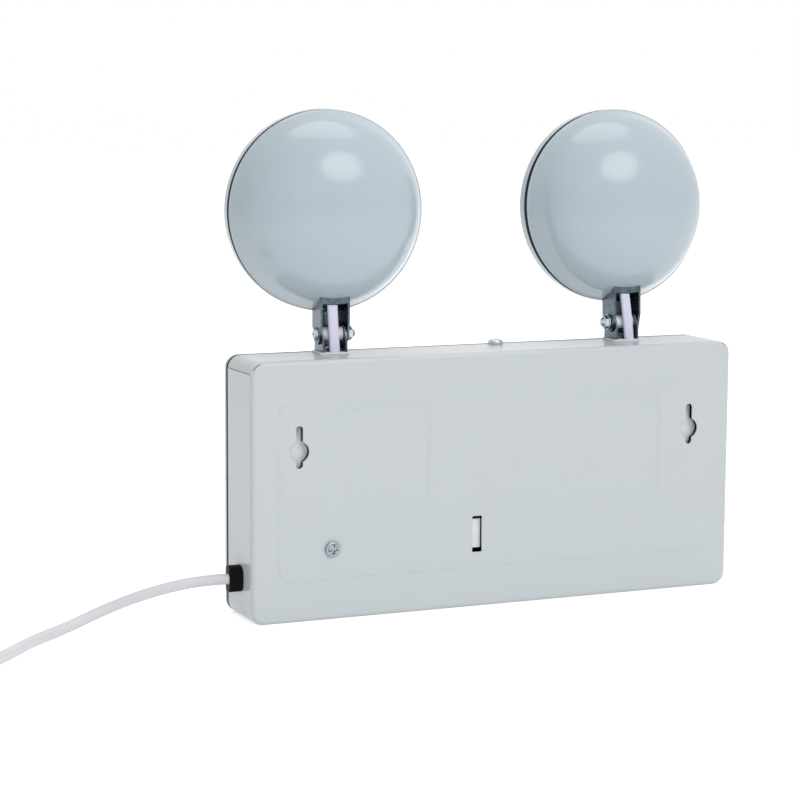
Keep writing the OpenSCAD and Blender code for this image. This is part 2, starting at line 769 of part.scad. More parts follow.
// Swivel foot: a thin white plate on a hollow neck that turns in the case's top
module lead_slot(gap)
    translate([0, lead_y, 0]) polygon(stadium_points(lead_w + 2 * gap, lead_t + 2 * gap, lead_end_steps));
module swivel_foot(side) color(sleeve_white) at_yoke(side)
    difference() {
        union() {
            translate([0, 0, run_gap]) linear_extrude(foot_t)
                polygon(round_rect_points(foot_w, foot_d, foot_corner_r));
            difference() {
                translate([0, 0, -sheet_t - neck_below])
                    cylinder(r = neck_r, h = sheet_t + neck_below + foot_t / 2);
                translate([0, 0, -sheet_t - neck_below - overrun])
                    cylinder(r = neck_r - neck_wall, h = sheet_t + neck_below + overrun);
            }
        }
        translate([0, 0, -sheet_t - neck_below - overrun])
            linear_extrude(sheet_t + neck_below + foot_t + 2 * overrun) lead_slot(lead_slot_gap);
        translate([0, -rivet_y, -overrun]) cylinder(r = rivet_r + run_gap, h = foot_t + 2 * overrun);
    }
module swivel_nut(side) color(zinc) at_yoke(side)
    translate([0, 0, -sheet_t - swivel_gap - swivel_nut_h])
        difference() {
            cylinder(r = swivel_nut_r, h = swivel_nut_h, $fn = 6);
            translate([0, 0, -overrun]) cylinder(r = neck_r + thread_gap, h = swivel_nut_h + 2 * overrun);
        }
module foot_rivet(side) color(zinc) at_yoke(side) translate([0, -rivet_y, 0]) {
    translate([0, 0, -rivet_tail_h]) cylinder(r = rivet_tail_r, h = rivet_tail_h);
    translate([0, 0, -slice_t]) cylinder(r = rivet_r, h = foot_top + bracket_t + 2 * slice_t);
    translate([0, 0, foot_top + bracket_t])
        cylinder(r1 = rivet_head_r, r2 = rivet_head_r / 2, h = rivet_head_h);
}

// Lower bracket: an upright U with rounded tops, cut lower in front, where the upper web passes as a head leans
module bolt_hole(r) bar_x(r, -ear_outer - overrun, bracket_w + 2 * overrun);
module ear_plate(inner, outer, points)
    translate([inner, 0, 0]) rotate([90, 0, 90]) linear_extrude(outer - inner) {
        circle(ear_r);
        polygon(points);
    }
upright_points = [
    [-half_d, -pivot_rise], [half_d, -pivot_rise], [half_d, -upright_shoulder],
    [sqrt(ear_r * ear_r - ear_side * ear_side), ear_side],
    [-sqrt(ear_r * ear_r - ear_relief * ear_relief), -ear_relief], [-half_d, -web_down]
];
module lower_bracket(side) color(zinc) at_pivot(side)
    difference() {
        union() {
            block([-upright_outer, -half_d, -pivot_rise], [upright_outer, base_rear, bracket_t - pivot_rise]);
            block([-upright_outer, -half_d, -pivot_rise], [upright_outer, bracket_t - half_d, -web_down]);
            for (turn = [0, 1]) mirror([turn, 0, 0]) ear_plate(upright_inner, upright_outer, upright_points);
        }
        bolt_hole(bolt_r + run_gap);
        translate([0, -rivet_y, -pivot_rise - overrun])
            cylinder(r = rivet_r + run_gap, h = bracket_t + 2 * overrun);
    }

// Tilt bolt with its head outboard and a cap nut inboard
module tilt_bolt(side) color(zinc) at_pivot(side) rotate([0, side * 90, 0])
    difference() {
        union() {
            translate([0, 0, ear_outer + run_gap])
                cylinder(r1 = bolt_head_r, r2 = bolt_dome_r, h = bolt_head_h);
            translate([0, 0, -ear_outer - nut_flange_t - nut_hex_h])
                cylinder(r = bolt_r, h = bracket_w + run_gap + nut_flange_t + nut_hex_h + slice_t);
        }
        translate([0, 0, ear_outer + run_gap + bolt_head_h]) cross_recess();
    }
module cap_nut(side) color(zinc) at_pivot(side) rotate([0, -side * 90, 0])
    translate([0, 0, ear_outer + run_gap]) difference() {
        union() {
            cylinder(r = nut_flange_r, h = nut_flange_t);
            cylinder(r = nut_hex_r, h = nut_flange_t + nut_hex_h, $fn = 6);
            translate([0, 0, nut_flange_t + nut_hex_h - slice_t])
                cylinder(r1 = nut_dome_r, r2 = nut_dome_r / 2, h = nut_dome_h);
        }
        translate([0, 0, -overrun]) cylinder(r = bolt_r + thread_gap, h = nut_flange_t + nut_hex_h + overrun);
    }
module spacer_barrel(side) color(sleeve_white) at_pivot(side)
    difference() {
        bar_x(barrel_spacer_r, -upright_inner + run_gap, 2 * (upright_inner - run_gap));
        bolt_hole(bolt_r + run_gap);
    }

// Flat twin lead from the case up to the head, behind the spacer barrel: above the bolt it leans with the head
module head_lead(side) color(sleeve_white) at_pivot(side)
    let (flat = stadium_points(lead_w, lead_t, lead_end_steps), lean = tilt_of(side))
        polyhedron(concat(
            [for (p = flat) let (y = lead_y + p[1])
                [p[0], y * cos(lean) - lead_top * sin(lean), y * sin(lean) + lead_top * cos(lean)]],
            [for (p = flat) [p[0], lead_y + p[1], (lead_y + p[1]) * tan(lean / 2)]],
            [for (p = flat) [p[0], lead_y + p[1], -pivot_up - lead_below]]),
            tube_faces(3, len(flat)));

// The bowl's elliptical profile from an angle to the middle of its back, grown by a thickness
function bowl_curve(start, grow) = [
    for (k = [0:bowl_steps]) let (a = start + (90 - start) * k / bowl_steps)
        [(bowl_r + grow) * cos(a), rim_t + (bowl_d + grow) * sin(a)]];
// The outside runs straight from the rim to where it meets the ellipse
bowl_meet = acos(bowl_r / bowl_base_r);
function bowl_outside(grow) = concat([[bowl_base_r + grow, rim_t]], bowl_curve(bowl_meet, grow));
module bowl_form(grow)
    about_head_axis() polygon(concat([[0, 0], [bowl_base_r + grow, 0]], bowl_outside(grow)));

// Upper bracket: a hanging U whose top web is pressed to the bowl
ear_points = [
    [-sqrt(ear_r * ear_r - ear_side * ear_side), -ear_side],
    [sqrt(ear_r * ear_r - ear_side * ear_side), -ear_side],
    [half_d, ear_shoulder], [half_d, ear_top], [-half_d, ear_top], [-half_d, ear_shoulder]
];
module lead_hole()
    block([-lead_hole_w / 2, lead_y - lead_t / 2 - lead_slot_gap, web_up],
          [lead_hole_w / 2, lead_y + lead_t / 2 + lead_slot_gap, ear_top]);
module at_bracket_rivets()
    for (x = [-1, 1] * bracket_rivet_x)
        translate([x, bracket_rivet_y, rim_up - sqrt(pow(rivet_outer_r, 2) - x * x)])
            rotate([bowl_slope, 0, 0]) children();
// Slope of the bowl's straight part, and its radii outside and inside where the rivets pass
bowl_slope = atan((bowl_base_r - bowl_r * cos(bowl_meet)) / (bowl_d * sin(bowl_meet)));
rivet_rise = bracket_rivet_y + rim_forward - rim_t;
rivet_outer_r = bowl_base_r - rivet_rise * tan(bowl_slope);
rivet_inner_r = (bowl_r - bowl_t) * sqrt(1 - pow(rivet_rise / (bowl_d - bowl_t), 2));
rivet_inside = rivet_outer_r - rivet_inner_r + rivet_seat_gap;
module upper_bracket(side) color(zinc) at_head(side)
    difference() {
        union() {
            for (turn = [0, 1]) mirror([turn, 0, 0]) ear_plate(ear_inner, ear_outer, ear_points);
            block([-ear_outer, -half_d, web_up], [ear_outer, bracket_t - half_d, ear_top]);
            intersection() {
                block([-ear_outer, -half_d, web_up], [ear_outer, half_d, ear_top]);
                bowl_form(bowl_gap + bracket_t);
            }
            intersection() {
                block([-ear_outer, half_d - web_lip_t, web_up], [ear_outer, half_d, ear_top]);
                bowl_form(bowl_gap + web_lip_h);
            }
        }
        bowl_form(bowl_gap);
        bolt_hole(bolt_r + run_gap);
        lead_hole();
        at_bracket_rivets() cylinder(r = bracket_rivet_r + run_gap, h = 3 * bracket_t, center = true);
    }
module bracket_rivets(side) color(zinc) at_head(side) at_bracket_rivets() {
    translate([0, 0, -bracket_t - 3 * bowl_gap - bracket_rivet_head_h])
        cylinder(r1 = bracket_rivet_head_r / 2, r2 = bracket_rivet_head_r, h = bracket_rivet_head_h);
    translate([0, 0, -bracket_t - 3 * bowl_gap - slice_t])
        cylinder(r = bracket_rivet_r, h = bracket_t + 3 * bowl_gap + rivet_inside + 2 * slice_t);
    translate([0, 0, rivet_inside]) cylinder(r = bracket_rivet_head_r, h = bracket_rivet_head_h);
}

// Head shell: a deep bowl with a narrow flat rim
module head_shell(side) color(white) at_head(side)
    difference() {
        about_head_axis() polygon(concat(
            [[bowl_r - bowl_t, 0], [rim_r, 0], [rim_r, rim_t]],
            bowl_outside(0),
            [for (k = [0:bowl_steps]) bowl_curve(0, -bowl_t)[bowl_steps - k]]));
        lead_hole();
        at_bracket_rivets()
            cylinder(r = bracket_rivet_r + run_gap, h = 2 * rivet_inside + 2 * bowl_t, center = true);
    }
module head_gasket(side) color(black) at_head(side) about_head_axis()
    polygon([[gasket_inner, 0], [gasket_inner, -gasket_t - gasket_step_t],
             [gasket_step_r, -gasket_t - gasket_step_t], [gasket_step_r, -gasket_t],
             [gasket_r, -gasket_t], [gasket_r, 0]]);
module bezel_ring(side) color(white) at_head(side) about_head_axis()
    polygon([[recess_r, -gasket_t], [rim_r + bezel_over, -gasket_t],
             [rim_r + bezel_over, bezel_edge - bezel_front],
             [rim_r + bezel_over - bezel_edge * bezel_edge_share,
              bezel_edge * bezel_edge_share - bezel_front],
             [bezel_face_r, -bezel_front],
             [bezel_open_r + bezel_edge * bezel_edge_share, -bezel_front],
             [bezel_open_r, bezel_edge * bezel_edge_share - bezel_front],
             [bezel_open_r, lip_t - bezel_front], [recess_r, lip_t - bezel_front]]);
lens_back = lip_t + lens_t - bezel_front;
module head_lens(side) color("#dfe9ee", 0.45) at_head(side) about_head_axis()
    polygon(concat(
        [[recess_r - lens_gap, lens_back], [recess_r - lens_gap, lens_back - lens_t],
         [bezel_open_r - lens_gap, lens_back - lens_t]],
        [for (k = [1:lens_steps])
            let (r = (bezel_open_r - lens_gap) * (1 - k / lens_steps))
                [r, lens_back - lens_t - lens_crown * (1 - pow(r / (bezel_open_r - lens_gap), 2))]],
        [for (k = [0:lens_steps])
            let (r = dish_r * k / lens_steps) [r, lens_back - lens_crown * (1 - pow(r / dish_r, 2))]]));
// Reflector: a dish hung from a flange that the gasket clamps on to the lens
function dish_s(r) = lens_back + dish_d * (1 - pow((r - dish_floor_r) / (dish_r - dish_floor_r), 2));
module reflector(side) color("silver") at_head(side) about_head_axis()
    polygon(concat(
        [[recess_r - lens_gap, lens_back], [recess_r - lens_gap, lens_back + dish_flange_t],
         [dish_r + dish_t / 2, lens_back + dish_flange_t]],
        [for (k = [1:dish_steps])
            let (r = dish_r - (dish_r - dish_floor_r) * k / dish_steps)
                [r, dish_s(r) + dish_t]],
        [[dish_hole_r, dish_s(dish_floor_r) + dish_t], [dish_hole_r, dish_s(dish_floor_r)]],
        [for (k = [0:dish_steps])
            let (r = dish_floor_r - dish_t + (dish_r - dish_floor_r) * k / dish_steps)
                [r, dish_s(r + dish_t)]]));
board_s = lens_back + dish_d + dish_t;
module led_board(side) color(sleeve_white) at_head(side)
    about_head_axis() polygon([[0, board_s], [led_board_r, board_s], [led_board_r, board_s + led_board_t],
                               [0, board_s + led_board_t]]);
module power_led()
    rotate_extrude() polygon(concat(
        [[0, 0], [power_led_r, 0]],
        [for (k = [0:led_dome_steps])
            [power_led_r * cos(90 * k / led_dome_steps),
             power_led_base + power_led_r * sin(90 * k / led_dome_steps)]]));
module head_leds(side) color("#fff6d8") at_head(side)
    translate([0, board_s - rim_forward, rim_up]) rotate([90, 0, 0]) {
        power_led();
        for (k = [0:power_led_count - 1]) rotate([0, 0, 360 * k / power_led_count])
            translate([power_led_ring, 0, 0]) power_led();
    }

rear_case();
front_cover();
cover_screw();
cover_nut();
keyhole_pockets();
earth_screw();
earth_nut();
cable_gland();
mains_cord();
cord_coil();
mains_plug();
plug_pins();
terminal_block();
circuit_board();
board_standoffs();
board_screws();
transformer();
capacitors();
indicator_leds();
indicator_clips();
switch_body();
switch_spring();
test_button();
battery_cells();
battery_sleeve();
battery_clips();
swivel_foot(right);  // right_swivel_foot
swivel_nut(right);  // right_swivel_nut
foot_rivet(right);  // right_foot_rivet
lower_bracket(right);  // right_lower_bracket
tilt_bolt(right);  // right_tilt_bolt
cap_nut(right);  // right_cap_nut
spacer_barrel(right);  // right_spacer_barrel
head_lead(right);  // right_head_lead
upper_bracket(right);  // right_upper_bracket
bracket_rivets(right);  // right_bracket_rivets
head_shell(right);  // right_head_shell
head_gasket(right);  // right_head_gasket
bezel_ring(right);  // right_bezel_ring
head_lens(right);  // right_head_lens
reflector(right);  // right_reflector
led_board(right);  // right_led_board
head_leds(right);  // right_head_leds
swivel_foot(left);  // left_swivel_foot
swivel_nut(left);  // left_swivel_nut
foot_rivet(left);  // left_foot_rivet
lower_bracket(left);  // left_lower_bracket
tilt_bolt(left);  // left_tilt_bolt
cap_nut(left);  // left_cap_nut
spacer_barrel(left);  // left_spacer_barrel
head_lead(left);  // left_head_lead
upper_bracket(left);  // left_upper_bracket
bracket_rivets(left);  // left_bracket_rivets
head_shell(left);  // left_head_shell
head_gasket(left);  // left_head_gasket
bezel_ring(left);  // left_bezel_ring
head_lens(left);  // left_head_lens
reflector(left);  // left_reflector
led_board(left);  // left_led_board
head_leds(left);  // left_head_leds
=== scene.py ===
import json
import math
from functools import partial
import bmesh
import bpy
import numpy as np
from mathutils import Matrix, Vector
from mathutils.geometry import delaunay_2d_cdt

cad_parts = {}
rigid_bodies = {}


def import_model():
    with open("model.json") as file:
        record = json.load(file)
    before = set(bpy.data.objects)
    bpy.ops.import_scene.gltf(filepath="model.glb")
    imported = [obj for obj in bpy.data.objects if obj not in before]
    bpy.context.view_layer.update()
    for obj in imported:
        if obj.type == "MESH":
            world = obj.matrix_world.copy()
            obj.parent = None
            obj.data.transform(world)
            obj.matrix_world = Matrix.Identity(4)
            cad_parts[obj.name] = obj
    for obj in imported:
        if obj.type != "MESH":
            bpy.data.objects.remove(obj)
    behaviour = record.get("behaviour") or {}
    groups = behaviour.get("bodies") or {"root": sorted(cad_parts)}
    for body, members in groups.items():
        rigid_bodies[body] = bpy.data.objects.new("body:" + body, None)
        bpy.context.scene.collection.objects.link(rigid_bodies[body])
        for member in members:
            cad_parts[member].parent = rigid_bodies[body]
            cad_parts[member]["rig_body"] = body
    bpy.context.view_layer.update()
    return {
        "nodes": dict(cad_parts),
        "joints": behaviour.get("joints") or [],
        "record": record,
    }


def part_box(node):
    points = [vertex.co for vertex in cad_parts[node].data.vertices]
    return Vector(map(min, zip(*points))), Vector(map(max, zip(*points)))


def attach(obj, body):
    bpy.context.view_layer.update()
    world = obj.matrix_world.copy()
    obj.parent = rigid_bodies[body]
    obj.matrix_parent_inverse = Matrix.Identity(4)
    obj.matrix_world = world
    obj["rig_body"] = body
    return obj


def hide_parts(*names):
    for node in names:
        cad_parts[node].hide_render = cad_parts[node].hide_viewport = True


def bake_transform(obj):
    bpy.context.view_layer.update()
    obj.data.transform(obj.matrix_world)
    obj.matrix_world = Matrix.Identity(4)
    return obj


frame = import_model()

# Lengths are in millimetres in the wall frame: y = 0 is the face that meets the wall, and the front is -y
MM = 0.001
MOUNTS = {m["name"]: m for m in frame["record"]["mounts"]}
JOINTS = {j["name"]: j for j in frame["joints"]}
WALL_Y = MOUNTS["wall_face"]["pos_m"][1]
TO_FRAME = Matrix.Translation((0, WALL_Y, 0)) @ Matrix.Scale(MM, 4)


def wall_box(node):
    """A CAD node's lowest and highest corners, in millimetres in the wall frame."""
    return [(np.array(corner) - (0, WALL_Y, 0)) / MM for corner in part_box(node)]


def linked(name, data):
    """A new object in the scene."""
    obj = bpy.data.objects.new(name, data)
    bpy.context.scene.collection.objects.link(obj)
    return obj


CASE_LOW, CASE_HIGH = wall_box("rear_case")
CASE_W = CASE_HIGH[0] - CASE_LOW[0]
CASE_H = CASE_HIGH[2] - CASE_LOW[2]
FRONT_Y = wall_box("front_cover")[0][1]
SHEET = 0.9
CORNER_R = 6.5
BEND_R = 2.4
EDGE_R = 0.45
# The back's flat border lies in front of its raised panel, and the seam, dark with painted shade, lies
# between the two edges
CASE_BACK = -0.5
CASE_EDGE = -33.4
COVER_EDGE = -35.3
KEYHOLE_X = MOUNTS["keyholes"]["dims"]["spacing_x_mm"] / 2
KEYHOLE_Z = MOUNTS["keyholes"]["pos_m"][2] / MM
KEYHOLE_R = MOUNTS["keyholes"]["dims"]["hole_r_mm"]
KEYHOLE_SLOT_R = 1.85
KEYHOLE_TOP = 12.5
KEYHOLE_BOTTOM = 8


# Camera, fitted to the photograph in the wall frame
CAMERA_AZIMUTH = math.radians(156.174)
CAMERA_ELEVATION = math.radians(7.769)
CAMERA_ROLL = math.radians(0.321)
CAMERA_DISTANCE = 1171.446
CAMERA_TARGET = (54.277, 0, 104.895)
SENSOR = 36
PHOTO_WIDTH = 800
FOCAL_PIXELS = 2440.54


def make_camera():
    """Looks at the target from the fitted azimuth and elevation, then rolls about its own axis."""
    a, e = CAMERA_AZIMUTH, CAMERA_ELEVATION
    back = Vector((math.sin(a) * math.cos(e), -math.cos(a) * math.cos(e), math.sin(e)))
    right = (-back).cross(Vector((0, 0, 1))).normalized()
    up = right.cross(-back)
    turned_right = right * math.cos(CAMERA_ROLL) + up * math.sin(CAMERA_ROLL)
    turned_up = up * math.cos(CAMERA_ROLL) - right * math.sin(CAMERA_ROLL)
    place = TO_FRAME @ (Vector(CAMERA_TARGET) + back * CAMERA_DISTANCE)
    turn = Matrix((turned_right, turned_up, back)).transposed().to_4x4()
    camera = linked("camera", bpy.data.cameras.new("camera"))
    camera.matrix_world = Matrix.Translation(place) @ turn
    camera.data.sensor_width = SENSOR
    camera.data.sensor_fit = "HORIZONTAL"
    camera.data.lens = FOCAL_PIXELS * SENSOR / PHOTO_WIDTH
    bpy.context.scene.camera = camera


make_camera()


# Mesh tools: every surface is a grid of points, (rows, columns, 3), in millimetres
def grid_faces(rows, columns, close_rows=False, close_columns=False):
    """Quads between neighbouring points of a grid, joined round where it closes."""
    i = np.arange(rows if close_rows else rows - 1)
    j = np.arange(columns if close_columns else columns - 1)
    i, j = np.meshgrid(i, j, indexing="ij")
    nexti, nextj = (i + 1) % rows, (j + 1) % columns
    corners = [i * columns + j, nexti * columns + j, nexti * columns + nextj, i * columns + nextj]
    return np.stack(corners, -1).reshape(-1, 4)


def sheet_of(grid, close_rows=False, close_columns=False):
    """A grid's points and its quads."""
    grid = np.asarray(grid, float)
    return grid.reshape(-1, 3), grid_faces(grid.shape[0], grid.shape[1], close_rows, close_columns)


def cap(loop):
    """One flat face that closes a loop of points."""
    return np.asarray(loop, float), [list(range(len(loop)))]


def together(*parts):
    """Several (points, faces) pairs as one."""
    points, faces, first = [], [], 0
    for p, f in parts:
        points.append(np.asarray(p, float))
        faces += [[first + int(k) for k in face] for face in f]
        first += len(p)
    return np.concatenate(points), faces


def moved(part, matrix):
    """A (points, faces) pair moved by a 4x4 matrix."""
    m = np.array(matrix)
    return part[0] @ m[:3, :3].T + m[:3, 3], part[1]


def closed_tube(rows):
    """Rows of points joined round, with a flat face at both ends."""
    return together(sheet_of(rows, close_columns=True), cap(rows[0][::-1]), cap(rows[-1]))


def at_depth(loop, y):
    """(x, z) points laid at a depth, which is one number or one for each point."""
    return np.stack([loop[:, 0], y + 0 * loop[:, 0], loop[:, 1]], -1)


MERGE = 0.002 * MM


def finish_mesh(mesh, sharp_degrees):
    """Merges doubled points, closes poles, turns faces outwards and shades smooth up to an angle."""
    work = bmesh.new()
    work.from_mesh(mesh)
    bmesh.ops.remove_doubles(work, verts=work.verts, dist=MERGE)
    bmesh.ops.dissolve_degenerate(work, edges=work.edges, dist=0.001 * MM)
    bmesh.ops.recalc_face_normals(work, faces=work.faces)
    for face in work.faces:
        face.smooth = True
    for edge in work.edges:
        edge.smooth = edge.calc_face_angle(0) < math.radians(sharp_degrees)
    work.to_mesh(mesh)
    work.free()


def mesh_of(name, part, matrix, sharp):
    """A mesh of a (points, faces) pair, whose points go from millimetres into the frame."""
    points, faces = moved(part, matrix)
    mesh = bpy.data.meshes.new(name)
    mesh.from_pydata(points.tolist(), [], [list(map(int, face)) for face in faces])
    finish_mesh(mesh, sharp)
    return mesh


def piece(name, body, material, part, matrix=TO_FRAME, sharp=32, weighted=True, nodes=(), ride=True):
    """A mesh piece, made in millimetres, that may ride on a body and may replace CAD nodes."""
    obj = linked(name, mesh_of(name, part, matrix, sharp))
    obj.data.materials.append(material)
    if weighted:
        obj.modifiers.new("normals", "WEIGHTED_NORMAL").keep_sharp = True
    if ride:
        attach(obj, body)
    if nodes:
        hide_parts(*nodes)
    return obj


def dressed(node, material, bevel, name=None):
    """A CAD node's copy, which replaces it: points merged, and edges rounded where a bevel is given."""
    source = frame["nodes"][node]
    mesh = source.data.copy()
    work = bmesh.new()
    work.from_mesh(mesh)
    bmesh.ops.remove_doubles(work, verts=work.verts, dist=MERGE)
    bmesh.ops.dissolve_limit(work, angle_limit=math.radians(0.5), verts=work.verts, edges=work.edges)
    for face in work.faces:
        face.smooth = True
    work.to_mesh(mesh)
    work.free()
    obj = linked(name or node + "_finish", mesh)
    mesh.materials.clear()
    mesh.materials.append(material)
    if bevel:
        rounding = obj.modifiers.new("edges", "BEVEL")
        rounding.width = bevel * MM
        rounding.segments = 2
        rounding.limit_method = "ANGLE"
        rounding.angle_limit = math.radians(35)
    obj.modifiers.new("normals", "WEIGHTED_NORMAL").keep_sharp = True
    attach(obj, source["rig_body"])
    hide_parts(node)
    return obj


SLOT_OF = {s["node"]: s["material_slot"] for s in frame["record"]["subparts"]}


def arc(x, z, r, start, end, steps):
    """Points on a circular arc, angles in degrees."""
    t = np.radians(np.linspace(start, end, steps + 1))
    return np.stack([x + r * np.cos(t), z + r * np.sin(t)], -1)


def rounded_rect(w, h, r, steps=12):
    """A rounded rectangle's outline: four quarter circles joined by straight sides."""
    x, z = w / 2 - r, h / 2 - r
    return np.concatenate([arc(x, z, r, 0, 90, steps), arc(-x, z, r, 90, 180, steps),
                           arc(-x, -z, r, 180, 270, steps), arc(x, -z, r, 270, 360, steps)])


def rectangle(x, z, half_w, half_h):
    """The corners of a rectangle about a point."""
    return [(x + a * half_w, z + b * half_h) for a, b in ((-1, -1), (1, -1), (1, 1), (-1, 1))]


def filleted(points, radii, steps=4):
    """A closed outline whose corners are parabolas, as wide as their radius or the sides allow."""
    points = np.asarray(points, float)
    radii = np.broadcast_to(radii, len(points))
    out = []
    for k, corner in enumerate(points):
        before, after = points[k - 1] - corner, points[(k + 1) % len(points)] - corner
        room = 0.49 * min(np.linalg.norm(before), np.linalg.norm(after))
        reach = min(radii[k], room)
        if reach <= 0:
            out.append(corner[None])
            continue
        a = corner + before / np.linalg.norm(before) * reach
        b = corner + after / np.linalg.norm(after) * reach
        t = np.linspace(0, 1, steps + 1)[:, None]
        out.append((1 - t) ** 2 * a + 2 * t * (1 - t) * corner + t ** 2 * b)
    return np.concatenate(out)


def turned(profile, t):
    """(radius, distance along +y) points turned about the y axis, through the angles t."""
    r, s = profile[:, :1], profile[:, 1:]
    return np.stack([r * np.cos(t), s + 0 * t, r * np.sin(t)], -1)


def lathe(profile, segments):
    """A closed profile turned about the y axis."""
    t = np.linspace(0, 2 * np.pi, segments, endpoint=False)
    return sheet_of(turned(np.asarray(profile, float), t), close_rows=True, close_columns=True)


def smoothstep(x):
    """0 below 0, 1 above 1, and an S curve between."""
    x = np.clip(x, 0, 1)
    return x * x * (3 - 2 * x)


def inside(points, outline):
    """Which points lie inside an outline, by counting the sides that a ray crosses."""
    a, b = outline, np.roll(outline, -1, 0)
    px, pz = points[:, :1], points[:, 1:]
    crosses = (a[:, 1] > pz) != (b[:, 1] > pz)
    with np.errstate(divide="ignore", invalid="ignore"):
        at = a[:, 0] + (pz - a[:, 1]) / (b[:, 1] - a[:, 1]) * (b[:, 0] - a[:, 0])
    return (crosses & (px < at)).sum(1) % 2 == 1


def box_part(low, high, edge=0.15):
    """A box between two corners whose edges are cut by small chamfers."""
    low, high = np.asarray(low, float), np.asarray(high, float)
    size, middle = high - low, (high + low) / 2
    outline = filleted(rectangle(0, 0, size[0] / 2, size[1] / 2), edge, 2)
    shrink = outline * (1 - 2 * edge / size[:2])
    top = size[2] / 2
    rows = [np.c_[loop, np.full(len(loop), z)]
            for loop, z in ((shrink, -top), (outline, edge - top), (outline, top - edge), (shrink, top))]
    return moved(closed_tube(rows), Matrix.Translation(middle))


# Shader groups: each puts out masks and values that change over the surface
def node_group(name, inputs, outputs, make):
    """A node group with float inputs, each with its default, whose outputs a function makes from them."""
    group = bpy.data.node_groups.new(name, "ShaderNodeTree")
    for label, value in inputs.items():
        socket = group.interface.new_socket(label, in_out="INPUT", socket_type="NodeSocketFloat")
        socket.default_value = value
    for label in outputs:
        group.interface.new_socket(label, in_out="OUTPUT", socket_type="NodeSocketFloat")
    given = group.nodes.new("NodeGroupInput").outputs
    fill(group, group.nodes.new("NodeGroupOutput"), dict(zip(outputs, make(group, given))))
    return group


def fill(tree, node, inputs):
    """Sets a node's inputs by name or number: a socket is linked, and anything else is a plain value."""
    for label, value in inputs.items():
        if isinstance(value, bpy.types.NodeSocket):
            tree.links.new(value, node.inputs[label])
        else:
            node.inputs[label].default_value = value


def add(tree, kind, inputs=(), **settings):
    """A new shader node with its properties set, and then its inputs."""
    node = tree.nodes.new("ShaderNode" + kind)
    for label, value in settings.items():
        setattr(node, label, value)
    fill(tree, node, dict(inputs))
    return node


def math_node(tree, operation, a, b, clamp=False):
    """The output of a math node, fed by sockets or plain numbers."""
    return add(tree, "Math", {0: a, 1: b}, operation=operation, use_clamp=clamp).outputs[0]


def swing(tree, value, amount):
    """How far a noise value lies from its middle, times an amount."""
    return math_node(tree, "MULTIPLY", math_node(tree, "SUBTRACT", value, 0.5), amount)


def noise(tree, scale, detail, roughness=0.5, stretch=(1, 1, 1)):
    """Noise on object coordinates. scale is a number or a socket."""
    place = add(tree, "Mapping", {"Vector": add(tree, "TexCoord").outputs["Object"], "Scale": stretch})
    inputs = {"Vector": place.outputs["Vector"], "Scale": scale, "Detail": detail, "Roughness": roughness}
    return add(tree, "TexNoise", inputs).outputs["Fac"]


def skin_surface(group, given):
    """A sprayed or moulded skin: fine bumps, slow waves, and slight changes of tone and gloss."""
    peel = noise(group, given["Peel Scale"], 2)
    wave = noise(group, given["Wave Scale"], 3)
    tone = math_node(group, "ADD", swing(group, wave, given["Tone"]), 1.0)
    gloss = math_node(group, "ADD", swing(group, wave, given["Gloss"]), given["Roughness"])
    height = math_node(group, "ADD", peel, math_node(group, "MULTIPLY", wave, 3.0))
    return tone, gloss, height


def plating_surface(group, given):
    """Plated sheet: cloudy tone and gloss, and fine drawn scratches."""
    cloud = noise(group, given["Cloud Scale"], 4, 0.6)
    scratch = noise(group, 900.0, 2, 0.6, (1, 1, 0.06))
    cloudy = math_node(group, "ADD", swing(group, cloud, given["Cloud"]), 1.0)
    tone = math_node(group, "ADD", cloudy, swing(group, scratch, given["Scratch"]))
    rough = math_node(group, "ADD", math_node(group, "MULTIPLY", cloud, 0.2), given["Roughness"])
    return tone, rough, scratch


def dust_mask(group, given):
    """Handling dust and scuffs: a sparse mask of soft specks."""
    specks = noise(group, given["Scale"], 6, 0.7)
    over = math_node(group, "MULTIPLY", math_node(group, "SUBTRACT", specks, 0.55), 6.0, clamp=True)
    return [math_node(group, "MULTIPLY", over, given["Amount"])]


SURFACE = ("Tone", "Roughness", "Height")
SKIN = node_group("sprayed_skin", {"Peel Scale": 700, "Wave Scale": 25, "Tone": 0.03, "Gloss": 0.06,
                                   "Roughness": 0.2}, SURFACE, skin_surface)
PLATING = node_group("plated_sheet", {"Cloud Scale": 180, "Cloud": 0.5, "Scratch": 0.25, "Roughness": 0.3},
                     SURFACE, plating_surface)
DUST = node_group("handling_dust", {"Scale": 60, "Amount": 0.1}, ("Mask",), dust_mask)
DUST_BROWN = (0.4, 0.38, 0.35)


def finish_of(name, colour, group, values, bump=0.1, bump_mm=0.01, dust=0.0, dust_colour=DUST_BROWN,
              **sockets):
    """A material: a group gives its tone, roughness and height, and plain values go on its shader."""
    material = bpy.data.materials.new(name)
    material.use_nodes = True
    tree = material.node_tree
    skin = add(tree, "Group", values, node_tree=group)
    tint = add(tree, "VectorMath", {0: colour, "Scale": skin.outputs["Tone"]}, operation="SCALE")
    soil = add(tree, "Group", {"Amount": dust}, node_tree=DUST)
    dusty = add(tree, "Mix", {"Factor": soil.outputs["Mask"], "A": tint.outputs[0], "B": (*dust_colour, 1)},
                data_type="RGBA")
    relief = add(tree, "Bump", {"Strength": bump, "Distance": bump_mm * MM, "Height": skin.outputs["Height"]})
    fill(tree, tree.nodes["Principled BSDF"], {
        "Base Color": dusty.outputs["Result"], "Roughness": skin.outputs["Roughness"],
        "Metallic": float(group is PLATING), "Normal": relief.outputs["Normal"],
        **{label.replace("_", " "): value for label, value in sockets.items()}})
    return material


